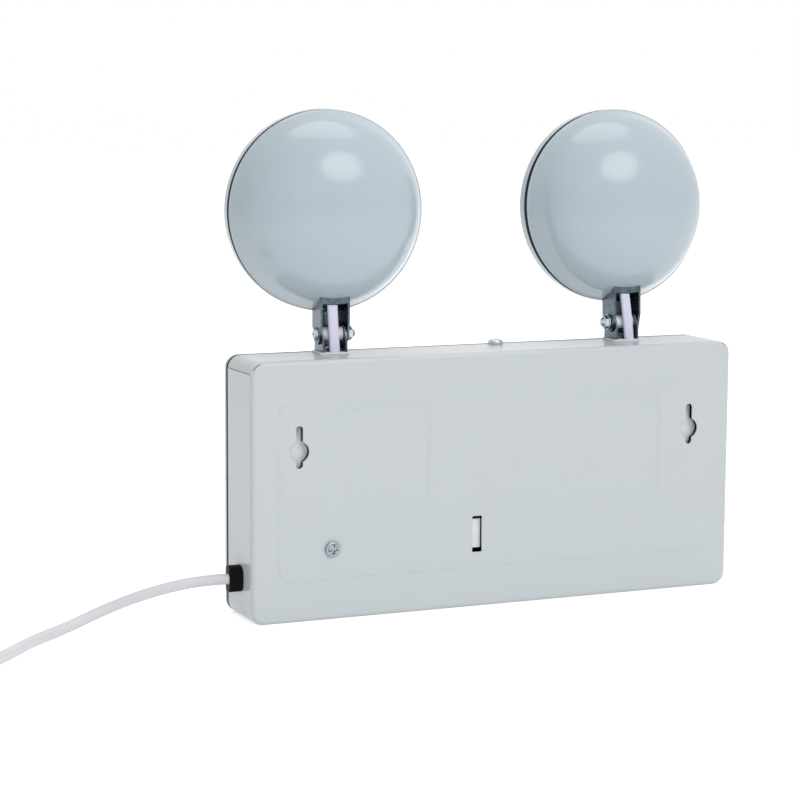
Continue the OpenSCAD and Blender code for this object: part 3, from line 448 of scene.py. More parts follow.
CASE_PAINT = finish_of(
    "case_paint", (0.595, 0.64, 0.66), SKIN,
    {"Peel Scale": 500, "Wave Scale": 30, "Tone": 0.03, "Gloss": 0.05, "Roughness": 0.24},
    bump=0.15, bump_mm=0.02, dust=0.04)
HEAD_GLOSS = finish_of(
    "head_gloss", (0.465, 0.55, 0.605), SKIN,
    {"Peel Scale": 300, "Wave Scale": 20, "Tone": 0.03, "Gloss": 0.04, "Roughness": 0.19},
    bump=0.05, bump_mm=0.02, dust=0.03, Coat_Weight=0.3, Coat_Roughness=0.12)
WHITE_MOULDED = finish_of(
    "white_moulded", (0.80, 0.815, 0.83), SKIN,
    {"Peel Scale": 900, "Wave Scale": 60, "Tone": 0.05, "Gloss": 0.1, "Roughness": 0.4}, bump=0.2)
ZINC = finish_of(
    "zinc_plated", (0.095, 0.125, 0.15), PLATING, {"Cloud Scale": 360, "Cloud": 1.7, "Roughness": 0.18},
    bump=0.3, dust=0.2, dust_colour=(0.06, 0.06, 0.07))
NICKEL = finish_of(
    "bright_nickel", (0.50, 0.54, 0.57), PLATING, {"Cloud Scale": 300, "Cloud": 0.7, "Roughness": 0.12},
    bump=0.08)
BLACK_MOULDED = finish_of(
    "black_moulded", (0.002, 0.002, 0.003), SKIN,
    {"Peel Scale": 900, "Wave Scale": 80, "Tone": 0.2, "Gloss": 0.1, "Roughness": 0.4},
    bump=0.2, Specular_IOR_Level=0.07)
# Black for painted shade, in the seam and inside the holes in the back
PAINTED_SHADE = finish_of(
    "painted_shade_black", (0.01, 0.01, 0.012), SKIN, {"Tone": 0.1, "Roughness": 0.6}, Specular_IOR_Level=0.1)
# A lighter copy of the white moulding: painted light on moulded parts that sit in shade
MOULDED_PAINTED_LIGHT = finish_of("moulded_with_painted_light", (0.9, 0.92, 0.93), SKIN, {"Tone": 0.02, "Roughness": 0.4})
JOINT_GREY = finish_of(
    "joint_grey", (0.26, 0.28, 0.29), SKIN, {"Tone": 0.3, "Roughness": 0.6}, Specular_IOR_Level=0.1)
SCREW_ZINC = finish_of(
    "screw_zinc", (0.33, 0.36, 0.39), PLATING, {"Cloud": 0.8, "Roughness": 0.25},
    bump=0.2, dust=0.2, dust_colour=(0.1, 0.1, 0.1))
BLACK_RUBBER = finish_of(
    "black_rubber", (0.004, 0.004, 0.007), SKIN, {"Tone": 0.1, "Gloss": 0.05, "Roughness": 0.6},
    bump=0.2, Specular_IOR_Level=0.08)
LEAD_SHEATH = finish_of(
    "lead_sheath", (0.74, 0.74, 0.88), SKIN,
    {"Peel Scale": 900, "Wave Scale": 40, "Tone": 0.06, "Gloss": 0.1, "Roughness": 0.42},
    bump=0.15, dust=0.06, Specular_IOR_Level=0.4)
CORD_SHEATH = finish_of(
    "cord_sheath", (0.70, 0.71, 0.74), SKIN,
    {"Peel Scale": 900, "Wave Scale": 40, "Tone": 0.04, "Gloss": 0.1, "Roughness": 0.36},
    bump=0.15, dust=0.08, Specular_IOR_Level=0.4)
GREEN_BOARD = finish_of("green_board", (0.03, 0.16, 0.06), SKIN, {"Tone": 0.3, "Roughness": 0.3})
TRANSFORMER_WRAP = finish_of(
    "transformer_wrap", (0.45, 0.33, 0.08), SKIN, {"Tone": 0.2, "Roughness": 0.4}, bump=0.2)
CELL_METAL = finish_of("cell_metal", (0.6, 0.62, 0.64), PLATING, {"Cloud": 0.2, "Roughness": 0.3})
GREEN_LAMP = finish_of(
    "green_lamp", (0.12, 0.45, 0.16), SKIN, {"Tone": 0.1, "Roughness": 0.12},
    bump=0.02, Transmission_Weight=0.3)
RED_PUSH = finish_of("red_push", (0.5, 0.03, 0.02), SKIN, {"Tone": 0.1, "Roughness": 0.25})
PHOSPHOR = finish_of("lamp_phosphor", (0.85, 0.72, 0.22), SKIN, {"Tone": 0.15, "Roughness": 0.4})
SILVERED = finish_of(
    "silvered_dish", (0.82, 0.83, 0.84), PLATING, {"Cloud": 0.08, "Scratch": 0.03, "Roughness": 0.04},
    bump=0.02)
CLEAR_LENS = finish_of(
    "clear_lens", (0.95, 0.97, 0.98), SKIN, {"Tone": 0.01, "Gloss": 0.02, "Roughness": 0.03},
    bump=0.02, Transmission_Weight=1.0, IOR=1.5)

MATERIAL_OF = {
    "white_paint": CASE_PAINT, "white_shell": HEAD_GLOSS, "white_plastic": WHITE_MOULDED, "zinc_plate": ZINC,
    "nickel_plate": NICKEL, "black_plastic": BLACK_MOULDED, "black_rubber": BLACK_RUBBER,
    "white_cord": CORD_SHEATH, "lead_sheath": LEAD_SHEATH, "green_board": GREEN_BOARD,
    "transformer_iron": TRANSFORMER_WRAP, "cell_metal": CELL_METAL, "green_lamp": GREEN_LAMP,
    "red_plastic": RED_PUSH, "clear_lens": CLEAR_LENS, "silvered_plastic": SILVERED, "lamp_yellow": PHOSPHOR}
for node_name, node_object in frame["nodes"].items():
    node_object.data.materials.clear()
    node_object.data.materials.append(MATERIAL_OF[SLOT_OF[node_name]])


# The mains lead: its route on the table, then the put-away coil
CORD_D = 5.3
CORD_R = CORD_D / 2
CORD_ROUTE = [
    (136.2, -17.1, 20.6), (145, -17.1, 20.6), (154, -17.4, 20.1), (164, -18.2, 18.7), (175, -19.4, 16.3),
    (186, -20.6, 13.1), (197, -21.2, 9.4), (206, -20.6, 6.3), (214, -18.4, 4.1), (222, -14, 3),
    (230, -7.6, 2.7), (238, 0.4, 2.65), (246, 9.8, 2.65), (254, 19.2, 2.65), (264, 29.6, 2.65),
    (273.4, 36.4, 2.65), (283.9, 41.6, 2.65), (295.1, 44.8, 2.65), (303.2, 45.8, 2.65)
]
# The lead leaves the case level, so its first point gives the height and depth of the strain relief
EXIT_Y, EXIT_Z = CORD_ROUTE[0][1:]
COIL_CENTRE = (308, 12)
COIL_R = 34
COIL_TURNS = 4.25
COIL_STEP = CORD_D + 0.5
COIL_POINTS_A_TURN = 36
TAIL_LENGTH = 14
TAIL_Z = CORD_R + COIL_STEP


def coil_points():
    """Spirals in on the table, climbs a layer in the half turn where it reverses, and spirals out again."""
    turn = np.arange(0, COIL_TURNS + 1e-9, 1 / COIL_POINTS_A_TURN)
    half = COIL_TURNS / 2
    r = COIL_R - COIL_STEP * (half - np.abs(turn - half))
    z = CORD_R + COIL_STEP * np.clip((turn - half) * 2 + 0.5, 0, 1)
    a = np.radians(90) - 2 * np.pi * turn
    return np.stack([COIL_CENTRE[0] + r * np.cos(a), COIL_CENTRE[1] + r * np.sin(a), z], -1)


def mixed(start, end, a, b, u):
    """From a, at the parameter start, to b, at the parameter end."""
    return (end - u) / (end - start) * a + (u - start) / (end - start) * b


def spline_through(points, step):
    """A smooth curve through the points, by centripetal Catmull-Rom pieces, with a point every step."""
    p = np.asarray(points, float)
    p = np.concatenate([2 * p[:1] - p[1:2], p, 2 * p[-1:] - p[-2:-1]])
    out = []
    for a, b, c, d in zip(p, p[1:], p[2:], p[3:]):
        t = np.cumsum([0] + [np.linalg.norm(y - x) ** 0.5 for x, y in ((a, b), (b, c), (c, d))])
        count = max(2, int(round(np.linalg.norm(c - b) / step)))
        u = np.linspace(t[1], t[2], count, endpoint=False)[:, None]
        a1, a2, a3 = mixed(t[0], t[1], a, b, u), mixed(t[1], t[2], b, c, u), mixed(t[2], t[3], c, d, u)
        b1, b2 = mixed(t[0], t[2], a1, a2, u), mixed(t[1], t[3], a2, a3, u)
        out.append(mixed(t[1], t[2], b1, b2, u))
    return np.concatenate(out + [p[-2:-1]])


def carried(outline, path):
    """A closed tube: an outline of (sideways, upwards) points carried along a path that is never upright."""
    path = np.asarray(path, float)
    along = np.gradient(path, axis=0)
    along /= np.linalg.norm(along, axis=1)[:, None]
    side = np.cross(along, (0, 0, 1))
    side /= np.linalg.norm(side, axis=1)[:, None]
    up = np.cross(side, along)
    grid = path[:, None] + outline[None, :, :1] * side[:, None] + outline[None, :, 1:] * up[:, None]
    return closed_tube(grid)


def make_mains_lead(with_pieces):
    """The lead from the strain relief to the plug, as one tube, and the short length inside the case."""
    coil = coil_points()
    tail = coil[-1] - [[0, TAIL_LENGTH / 2, 0], [0, TAIL_LENGTH, 0]]
    path = spline_through(np.concatenate([CORD_ROUTE, coil, tail]), 1.6)
    round_outline = arc(0, 0, CORD_R, 0, 360, 28)[:-1]
    lead = piece("mains_lead", "case", CORD_SHEATH, carried(round_outline, path),
                 weighted=False, sharp=50, nodes=("mains_cord", "cord_coil"))
    block_end = wall_box("terminal_block")[1][0] + 0.1
    inner = np.linspace((block_end, EXIT_Y, EXIT_Z), CORD_ROUTE[0], 12)
    piece("mains_lead_inside", "case", CORD_SHEATH, carried(round_outline, inner),
          weighted=False, sharp=50)


def make_gland():
    """The strain relief: sections across the lead, flatter towards the tip, and the bore."""
    r, out, base_half, tip_half, edge = 6.5, 6.2, 5.2, 3.2, 0.5
    bore = CORD_R + 0.15
    t = np.linspace(0, 2 * np.pi, 72, endpoint=False)

    def section(x, shrink=0.0):
        half = base_half + (tip_half - base_half) * np.clip(x / out, 0, 1)
        y = np.sign(np.cos(t)) * np.minimum(np.abs(r * np.cos(t)), half * np.abs(np.cos(t)) ** 0.25)
        return np.stack([np.full_like(t, x), y * (1 - shrink / half), r * np.sin(t) * (1 - shrink / r)], -1)

    def ring(x, radius):
        return np.stack([np.full_like(t, x), radius * np.cos(t), radius * np.sin(t)], -1)

    stem, flange, inner_end, flange_end, sheet_face = 5.4, 6.1, -SHEET - 7, -SHEET - 3.2, -SHEET - 0.1
    rows = [section(0, 0.2), *(section(x) for x in (0.25, 1.4, 2.8, 4.2, out - edge)),
            section(out - edge / 3, edge / 3), section(out, edge), ring(out, bore + 0.4),
            ring(out - 0.4, bore), ring(inner_end, bore), ring(inner_end, stem), ring(flange_end, flange),
            ring(sheet_face, flange), ring(sheet_face, stem), ring(0, stem)]
    place = TO_FRAME @ Matrix.Translation((CASE_W / 2, EXIT_Y, EXIT_Z))
    return piece("strain_relief", "case", BLACK_MOULDED, sheet_of(rows, True, True), place,
                 sharp=40, nodes=("cable_gland",))


def make_plug():
    """A flat two-pin plug: superellipse sections that widen from the ribbed neck to the square shoulders."""
    x, y = COIL_CENTRE[0] + COIL_R, COIL_CENTRE[1] - TAIL_LENGTH
    t = np.linspace(0, 2 * np.pi, 64, endpoint=False)

    def section(along, half_w, half_h, power):
        c, s = np.cos(t), np.sin(t)
        return np.stack([half_w * np.sign(c) * np.abs(c) ** power, np.full_like(t, along),
                         half_h * np.sign(s) * np.abs(s) ** power], -1)

    neck_r, taper, rib_pitch, groove = 3.5, 0.14, 1.4, -0.35
    rows = []
    for k in range(9):
        for along, cut in ((0.1, groove), (0.3, 0.0), (1.0, 0.0), (1.2, groove)):
            r = neck_r + taper * k + cut
            rows.append(section(k * rib_pitch + along, r, r, 1.0))
    high = TAIL_Z - 0.02
    rows += [section(*row) for row in (
        (13.2, 6.5, 5.6, 0.7), (14.2, 7.6, 7.2, 0.45), (15.6, 8.3, high, 0.3), (20, 10.2, high, 0.28),
        (25.5, 12.2, high, 0.26), (30, 12.5, high, 0.25), (42.6, 12.5, high, 0.25),
        (43.6, 12.2, high - 0.3, 0.25), (44, 11.6, high - 0.9, 0.25))]
    place = TO_FRAME @ Matrix.Translation((x, y, TAIL_Z)) @ Matrix.Rotation(math.pi, 4, "Z")
    plug = piece("mains_plug_body", "case", CORD_SHEATH, closed_tube(rows), place, sharp=38,
                 nodes=("mains_plug",))
    return plug, dressed("plug_pins", NICKEL, 0.25, name="mains_plug_pins")


plug_body, plug_blades = make_plug()
make_mains_lead([plug_body, plug_blades, make_gland()])


# The case: trays of bent sheet
def tray_walls(w, h, face_y, edge_y, direction):
    """The bent walls of a sheet tray, outside then inside, as loops of points along the sheet's section.
    direction is -1 where the tray opens towards -y. The face joins the first loop and the last."""
    def bent(r, degrees):
        """How far a bend lies in from the wall and from the face that it joins, at angles in degrees."""
        return [(r * (1 - np.cos(a)), r * (1 - np.sin(a))) for a in np.radians(degrees)]

    chamfer = 0.12
    section = [(i, face_y + direction * o) for i, o in bent(BEND_R, np.linspace(90, 0, 7))]
    section += [(i, edge_y - direction * o) for i, o in bent(EDGE_R, np.linspace(0, 80, 5))]
    section += [(SHEET - chamfer, edge_y), (SHEET, edge_y - direction * chamfer)]
    section += [(SHEET + i, face_y + direction * (SHEET + o))
                for i, o in bent(BEND_R - SHEET, np.linspace(90, 0, 7)[::-1])]
    return [at_depth(rounded_rect(w - 2 * inset, h - 2 * inset, CORNER_R - inset), y) for inset, y in section]


def face_with_holes(outline, holes, more, height):
    """A flat face: a triangulation of its outline, holes and extra points, lifted by a height function."""
    loops = [outline] + holes
    points = np.concatenate(loops + [more])
    edges, first = [], 0
    for loop in loops:
        edges += [(first + k, first + (k + 1) % len(loop)) for k in range(len(loop))]
        first += len(loop)
    made = delaunay_2d_cdt([Vector(p) for p in points], edges, [], 0, 1e-6)
    flat = np.array([tuple(v) for v in made[0]])
    triangles = np.array(made[2])
    middle = flat[triangles].mean(1)
    keep = inside(middle, outline)
    for hole in holes:
        keep &= ~inside(middle, hole)
    return np.stack([flat[:, 0], height(flat[:, 0], flat[:, 1]), flat[:, 1]], -1), triangles[keep]


def hole_wall(outline, height, depth):
    """The edge of a hole through the sheet, from the outer face to the inner one."""
    y = height(outline[:, 0], outline[:, 1])
    return sheet_of([at_depth(outline, y + d) for d in (0, depth)], close_columns=True)


def lattice(step):
    """A square grid of points inside the flat part of the case's two large faces."""
    x, z = np.arange(-120, 121, step), np.arange(8, 119, step)
    return np.stack(np.meshgrid(x, z), -1).reshape(-1, 2).astype(float)


def clear_of(points, holes, gap=0.0):
    """The points that lie in no hole, and further than a gap from every hole's edge."""
    clear = np.ones(len(points), bool)
    for hole in holes:
        reach = np.abs(points[:, None] - hole[None]).max(2).min(1)
        clear &= ~inside(points, hole) & (reach > gap)
    return points[clear]


PANEL_HALF_W = CASE_W / 2 - 14
PANEL_HALF_H = CASE_H / 2 - 20
PANEL_CORNER_R, PANEL_EDGE_W = 4, 1.5
STAMP_X, STAMP_Z, STAMP_HALF = 63.5, 77, 25
STAMP_CORNER_R, STAMP_EDGE_W, STAMP_D = 2, 2.4, 0.75
SLOT_X, SLOT_Z, SLOT_W, SLOT_H = 12.5, 36.5, 5.3, 18
# How deep the painted shade inside the holes in the back reaches
HOLE_SHADE_Y = -2.9
EARTH_X, EARTH_Z = 89.3, 34.8
EARTH_PAD_R, EARTH_PAD_D, EARTH_PAD_EDGE = 4.8, 0.2, 0.3
EARTH_RING_X, EARTH_RING_R, EARTH_RING_W, EARTH_RING_D = 105.6, 3.9, 0.5, 0.15


def rect_distance(x, z, half_w, half_h, r):
    """Signed distance to a rounded rectangle, positive outside."""
    dx, dz = np.abs(x) - (half_w - r), np.abs(z) - (half_h - r)
    return np.hypot(np.maximum(dx, 0), np.maximum(dz, 0)) + np.minimum(np.maximum(dx, dz), 0) - r


def back_height(x, z):
    """The pressed back: a raised panel with two shallow squares, the earth screw's seat and a faint ring."""
    reach = rect_distance(x, z - CASE_H / 2, PANEL_HALF_W, PANEL_HALF_H, PANEL_CORNER_R)
    y = CASE_BACK - CASE_BACK * smoothstep(0.5 - reach / PANEL_EDGE_W)
    for side in (-1, 1):
        reach = rect_distance(x - side * STAMP_X, z - STAMP_Z, STAMP_HALF, STAMP_HALF, STAMP_CORNER_R)
        y = y - STAMP_D * smoothstep(0.5 - reach / STAMP_EDGE_W)
    from_screw, from_ring = (np.hypot(x - middle, z - EARTH_Z) for middle in (EARTH_X, EARTH_RING_X))
    y = y - EARTH_PAD_D * smoothstep((EARTH_PAD_R - from_screw) / EARTH_PAD_EDGE)
    return y + EARTH_RING_D * smoothstep(1 - np.abs(from_ring - EARTH_RING_R) / EARTH_RING_W)


def keyhole_outline(side, grow=0.0):
    """A round hole with an upright slot above and below it."""
    r, a = KEYHOLE_R + grow, KEYHOLE_SLOT_R + grow
    top, bottom = KEYHOLE_TOP - KEYHOLE_SLOT_R, KEYHOLE_SLOT_R - KEYHOLE_BOTTOM
    meet = math.degrees(math.asin(a / r))
    loop = np.concatenate([arc(0, top, a, 0, 180, 10), arc(0, 0, r, 90 + meet, 270 - meet, 22),
                           arc(0, bottom, a, 180, 360, 10), arc(0, 0, r, meet - 90, 90 - meet, 22)])
    return loop + (side * KEYHOLE_X, KEYHOLE_Z)


def ring_points(x, z, half_w, half_h, r, offsets, spacing):
    """Points along rounded rectangles at several offsets from one, to carry a pressed edge."""
    out = []
    for d in offsets:
        loop = rounded_rect(2 * (half_w + d), 2 * (half_h + d), max(r + d, 0.3), 6)
        loop = np.concatenate([loop, loop[:1]])
        lengths = np.r_[0, np.cumsum(np.linalg.norm(np.diff(loop, axis=0), axis=1))]
        at = np.arange(0, lengths[-1], spacing)
        out.append(np.stack([np.interp(at, lengths, loop[:, k]) for k in (0, 1)], -1))
    return np.concatenate(out) + (x, z)


def ring_part(outset, inset, y_back, y_front):
    """A rectangular ring that runs round the case, between two insets from its outline and two depths."""
    rows = [at_depth(rounded_rect(CASE_W - 2 * inside_by, CASE_H - 2 * inside_by, CORNER_R - inside_by), y)
            for inside_by, y in ((outset, y_back), (outset, y_front), (inset, y_front), (inset, y_back))]
    return sheet_of([row + (0, 0, CASE_H / 2) for row in rows], True, True)


def slot_outline(grow=0.0):
    """The upright slot in the back, through which the battery's sleeve shows."""
    return filleted(rectangle(SLOT_X, SLOT_Z, SLOT_W / 2 + grow, SLOT_H / 2 + grow), 0.5)


def make_hole_shade():
    """Painted shade inside the keyholes and the slot: each outline carried inwards as a thin black wall,
    where the holes are in shade.
    """
    start, gap, thick = -SHEET - 0.02, 0.08, 0.6
    shade_walls = []
    for outline in (partial(keyhole_outline, -1), partial(keyhole_outline, 1), slot_outline):
        rows = [at_depth(outline(grow), y)
                for grow, y in ((gap, start), (gap, HOLE_SHADE_Y), (thick, HOLE_SHADE_Y), (thick, start))]
        shade_walls.append(sheet_of(rows, True, True))
    piece("hole_painted_shade", "case", PAINTED_SHADE, together(*shade_walls), sharp=40)


def make_seam_shade():
    """A black ring at the bottom of the seam between the case and its cover: painted shade for the gap."""
    piece("case_seam_painted_shade", "case", PAINTED_SHADE,
          ring_part(0.12, SHEET - 0.04, CASE_EDGE + 0.5, COVER_EDGE - 0.5), sharp=40)


def make_rear_case():
    """The rear case: bent walls, the pressed back with its holes, and the lip that the cover fits over."""
    rows = tray_walls(CASE_W, CASE_H, CASE_BACK, CASE_EDGE, -1)
    rows = [row + (0, 0, CASE_H / 2) for row in rows]
    outer_loop, inner_loop = rows[0][:, ::2], rows[-1][:, ::2]
    holes = [keyhole_outline(-1), keyhole_outline(1), slot_outline()]
    more = [ring_points(0, CASE_H / 2, PANEL_HALF_W, PANEL_HALF_H, PANEL_CORNER_R,
                        np.linspace(-0.9, 0.9, 7), 4)]
    for side in (-1, 1):
        more.append(ring_points(side * STAMP_X, STAMP_Z, STAMP_HALF, STAMP_HALF, STAMP_CORNER_R,
                                np.linspace(-1.3, 1.3, 8), 3))
    for x, radii in ((EARTH_RING_X, np.linspace(3.3, 4.5, 7)),
                     (EARTH_X, np.linspace(EARTH_PAD_R - EARTH_PAD_EDGE, EARTH_PAD_R, 4))):
        more += [arc(x, EARTH_Z, r, 0, 360, 40)[:-1] for r in radii]
    more = clear_of(np.concatenate(more + [lattice(8)]), holes, 0.4)
    outside_face = face_with_holes(outer_loop, holes, more, back_height)
    inner_face = face_with_holes(inner_loop, holes, more, lambda x, z: back_height(x, z) - SHEET)
    walls = [hole_wall(hole, back_height, -SHEET) for hole in holes]
    lip = [ring_part(SHEET - 0.02, 2 * SHEET, CASE_EDGE + 2.8, CASE_EDGE),
           ring_part(SHEET + 0.15, 2 * SHEET, CASE_EDGE, CASE_EDGE - 3.2)]
    shell = together(sheet_of(rows, close_columns=True), outside_face, inner_face, *walls, *lip)
    piece("case_shell", "case", CASE_PAINT, shell, sharp=40, nodes=("rear_case",))


INDICATOR_X = (-30, -18, -6)
INDICATOR_HOLE_R = 2.25
BUTTON_X = 14
BUTTON_HOLE_R = 5.25
FRONT_ROW_Z = 38


def flat_at(y):
    """A height function that is the same everywhere."""
    return lambda x, z: y + 0 * x


def make_front_cover():
    """The front cover: a shallow tray with holes for the lamps and the button, a screw tab and two hooks."""
    rows = [row + (0, 0, CASE_H / 2) for row in tray_walls(CASE_W, CASE_H, FRONT_Y, COVER_EDGE, 1)]
    circle = arc(0, 0, 1, 0, 360, 48)[:-1]
    holes = [circle * INDICATOR_HOLE_R + (x, FRONT_ROW_Z) for x in INDICATOR_X]
    holes.append(circle * BUTTON_HOLE_R + (BUTTON_X, FRONT_ROW_Z))
    more = clear_of(lattice(20), holes)
    faces = [face_with_holes(loop[:, ::2], holes, more, flat_at(y))
             for loop, y in ((rows[0], FRONT_Y), (rows[-1], FRONT_Y + SHEET))]
    walls = [hole_wall(hole, flat_at(FRONT_Y), SHEET) for hole in holes]
    sunk, tab_top, tab_end = FRONT_Y + SHEET / 2, CASE_H - SHEET - 0.05, -25.2
    extras = [box_part((-18, sunk, tab_top - SHEET), (-4, tab_end, tab_top))]
    hook_half, hook_end = 6, -30
    for x in (-70, 70):
        low, high = x - hook_half, x + hook_half
        extras.append(box_part((low, sunk, 2.1), (high, hook_end, 3)))
        extras.append(box_part((low, hook_end - SHEET, 1.2), (high, hook_end, 2.3)))
    shell = together(sheet_of(rows, close_columns=True), *faces, *walls, *extras)
    piece("cover_shell", "case", CASE_PAINT, shell, sharp=40, nodes=("front_cover",))


def make_sleeve_seam():
    """The pressed flat seam of the battery's sleeve, which lies behind the slot, in the lighter copy of white
    moulding: painted light.
    """
    low, high = wall_box("battery_sleeve")
    half, back, front = 7.2, high[1] - 0.1, high[1] - 0.5
    seam = box_part((low[0], front, SLOT_Z - half), (high[0], back, SLOT_Z + half), 0.1)
    piece("battery_sleeve_seam", "case", MOULDED_PAINTED_LIGHT, seam)


def make_corner_joints():
    """Dark joints at the upper corners, where the bent walls meet: thin ribbons on the walls and the bend."""
    ribbons = []
    for side in (-1, 1):
        x, z, half = side * (CASE_W / 2 - 0.05), CASE_H - CORNER_R + 0.7, 0.13
        thin, front, back = 0.06, CASE_EDGE + 0.6, CASE_BACK - 2.6
        ribbons.append(box_part((x - thin, front, z - half), (x + thin, back, z + half), 0.02))
        t = np.radians(np.linspace(28, 74, 14))
        lean = np.radians(45)
        inset, y = BEND_R * (1 - np.cos(lean)) - 0.02, CASE_BACK - BEND_R * (1 - np.sin(lean)) + 0.03
        rows = []
        for along, out in ((-0.22, 0), (0.22, 0), (0.22, -0.1), (-0.22, -0.1)):
            r = CORNER_R - inset - along * np.sin(lean) + out
            across = side * (CASE_W / 2 - CORNER_R + r * np.cos(t))
            rows.append(np.stack([across, y + along * np.cos(lean) + out + 0 * t,
                                  CASE_H - CORNER_R + r * np.sin(t)], -1))
        rows = np.stack(rows)
        ribbons.append(together(sheet_of(rows, close_rows=True), cap(rows[:, 0]), cap(rows[::-1, -1])))
    piece("case_corner_joints", "case", JOINT_GREY, together(*ribbons), sharp=40)


make_seam_shade()
make_rear_case()
make_front_cover()
make_sleeve_seam()
# These two are made twice by mistake, and each second copy lies exactly in the first.
for _ in range(2):
    make_hole_shade()
    make_corner_joints()


# Screws
def screw_part(head_r, head_h, shank_r, shank_len, recess=0.8, recess_len=3.6, recess_d=1.1):
    """A pan head screw along +y: a domed head on a polar grid, sunk by a cross, and a threaded shank."""
    t = np.linspace(0, 2 * np.pi, 96, endpoint=False)
    u = np.r_[np.linspace(0, 0.62, 18), np.linspace(0.66, 1, 9)]
    r = head_r * u[:, None]
    x, z = r * np.cos(t), r * np.sin(t)
    dome = head_h * (0.55 + 0.45 * np.sqrt(np.clip(1 - u[:, None] ** 4, 0, 1))) + 0 * t
    arm = np.minimum(np.maximum(np.abs(x) / (recess_len / 2), np.abs(z) / (recess / 2)),
                     np.maximum(np.abs(z) / (recess_len / 2), np.abs(x) / (recess / 2)))
    y = dome - recess_d * smoothstep((1.15 - arm) / 0.3) * (1 - 0.5 * u[:, None])
    top = np.stack([x, y, z], -1)
    turns = np.arange(0, shank_len, 0.35)
    profile = [(head_r, 0.25 * head_h), (head_r - 0.15, 0), (shank_r, 0)]
    profile += [(shank_r - (0.18 if k % 2 else 0), -d) for k, d in enumerate(turns[1:])]
    profile = np.array(profile + [(shank_r * 0.7, -shank_len), (0, -shank_len)])
    return sheet_of(np.concatenate([top, turned(profile, t)]), close_columns=True)


def make_case_screws():
    """The cover screw on top, standing upright, and the earth screw on the back."""
    x, y = -11, -30
    upright = TO_FRAME @ Matrix.Translation((x, y, CASE_H)) @ Matrix.Rotation(math.radians(90), 4, "X")
    cover_screw = screw_part(head_r=3.8, head_h=2.6, shank_r=2, shank_len=6)
    piece("cover_screw_pan", "case", NICKEL, cover_screw, upright, nodes=("cover_screw",))
    outwards = TO_FRAME @ Matrix.Translation((EARTH_X, -EARTH_PAD_D, EARTH_Z))
    earth_screw = screw_part(3.7, 2, 2, 9, recess=1.5, recess_len=4.6, recess_d=1.3)
    piece("earth_screw_pan", "case", SCREW_ZINC, earth_screw, outwards, nodes=("earth_screw",))


make_case_screws()


# Lamp heads, in a head's own frame: its tilt bolt is the origin and x runs along the bolt
RIM_FORWARD = 8.2
RIM_UP = 58.9
RIM_R = 48.7
BOWL_R = 46.4
BOWL_BASE_R = RIM_R - 0.5
BOWL_D = 30
BOWL_T = 1.6
RIM_T = 1.2
GASKET_T, GASKET_STEP = 3.2, 4.2
GASKET_R, GASKET_STEP_R, GASKET_INNER_R = 48.65, 46.4, 43.3
FRONT_S = -9.4
RING_R, RING_LIP_R, RING_LIP_T = 46.8, 43.4, 2
LENS_BACK = FRONT_S + 4.2
LENS_R, LENS_T, CROWN_R, CROWN = 46.7, 2.2, 43.3, 4
DISH_R, DISH_FLOOR_R, DISH_HOLE_R, DISH_D = 42.4, 14.5, 9.5, 21
REST_TILT = {"right": 0.0, "left": 2.9}
HEAD_SEGMENTS = 224


def head_matrix(side):
    """From a head's own frame, in millimetres, to the part's: turned with its bolt, then tilted."""
    joint = JOINTS[side + "_tilt"]
    across = Vector(joint["axis"]).normalized()
    back = Vector((0, 0, 1)).cross(across)
    facing = Matrix((across, back, Vector((0, 0, 1)))).transposed().to_4x4()
    lean = Matrix.Rotation(math.radians(REST_TILT[side]), 4, "X")
    return Matrix.Translation(joint["pos_m"]) @ facing @ lean @ Matrix.Scale(MM, 4)


def rim_matrix(side):
    """The head's frame moved to the middle of its rim; +y runs rearwards along the lamp's axis."""
    return head_matrix(side) @ Matrix.Translation((0, -RIM_FORWARD, RIM_UP))


def bowl_curve(grow, steps, start=0.0, reverse=False):
    """The bowl's quarter ellipse from its rim to its back, grown by a distance."""
    t = np.linspace(math.radians(start), np.pi / 2, steps)
    curve = np.stack([(BOWL_R + grow) * np.cos(t), RIM_T + (BOWL_D + grow) * np.sin(t)], -1)
    return curve[::-1] if reverse else curve


def shell_profile():
    """The head shell: a narrow rim, a straight part that meets the elliptical bowl, then its inside."""
    rim = [(BOWL_R - BOWL_T, 0), (RIM_R - 0.25, 0), (RIM_R, 0.25), (RIM_R, RIM_T - 0.3),
           (RIM_R - 0.1, RIM_T - 0.08), (RIM_R - 0.25, RIM_T), (BOWL_BASE_R + 0.05, RIM_T),
           (BOWL_BASE_R - 0.06, RIM_T + 0.1)]
    bowl = bowl_curve(0, 72, math.degrees(math.acos(BOWL_R / BOWL_BASE_R)))
    straight = rim[-1] + (bowl[0] - rim[-1]) * np.linspace(0, 1, 8)[1:-1, None]
    return np.concatenate([rim, straight, bowl, bowl_curve(-BOWL_T, 40, 0, True)])


def cut_away(obj, cutter):
    """Cuts one piece by another and removes the cutter."""
    cut = obj.modifiers.new("cut", "BOOLEAN")
    cut.operation = "DIFFERENCE"
    cut.solver = "EXACT"
    cut.object = cutter
    shape = bpy.data.meshes.new_from_object(obj.evaluated_get(bpy.context.evaluated_depsgraph_get()))
    obj.modifiers.remove(cut)
    obj.data = shape
    bpy.data.objects.remove(cutter)


LEAD_Y = 4.92
LEAD_W = 5.3
LEAD_T = 2.5


def gasket_profile():
    """The gasket: a flat ring, with a step inside it that reaches further to the front."""
    return filleted([(GASKET_INNER_R, 0), (GASKET_INNER_R, -GASKET_STEP), (GASKET_STEP_R, -GASKET_STEP),
                     (GASKET_STEP_R, -GASKET_T), (GASKET_R, -GASKET_T), (GASKET_R, 0)], 0.15)


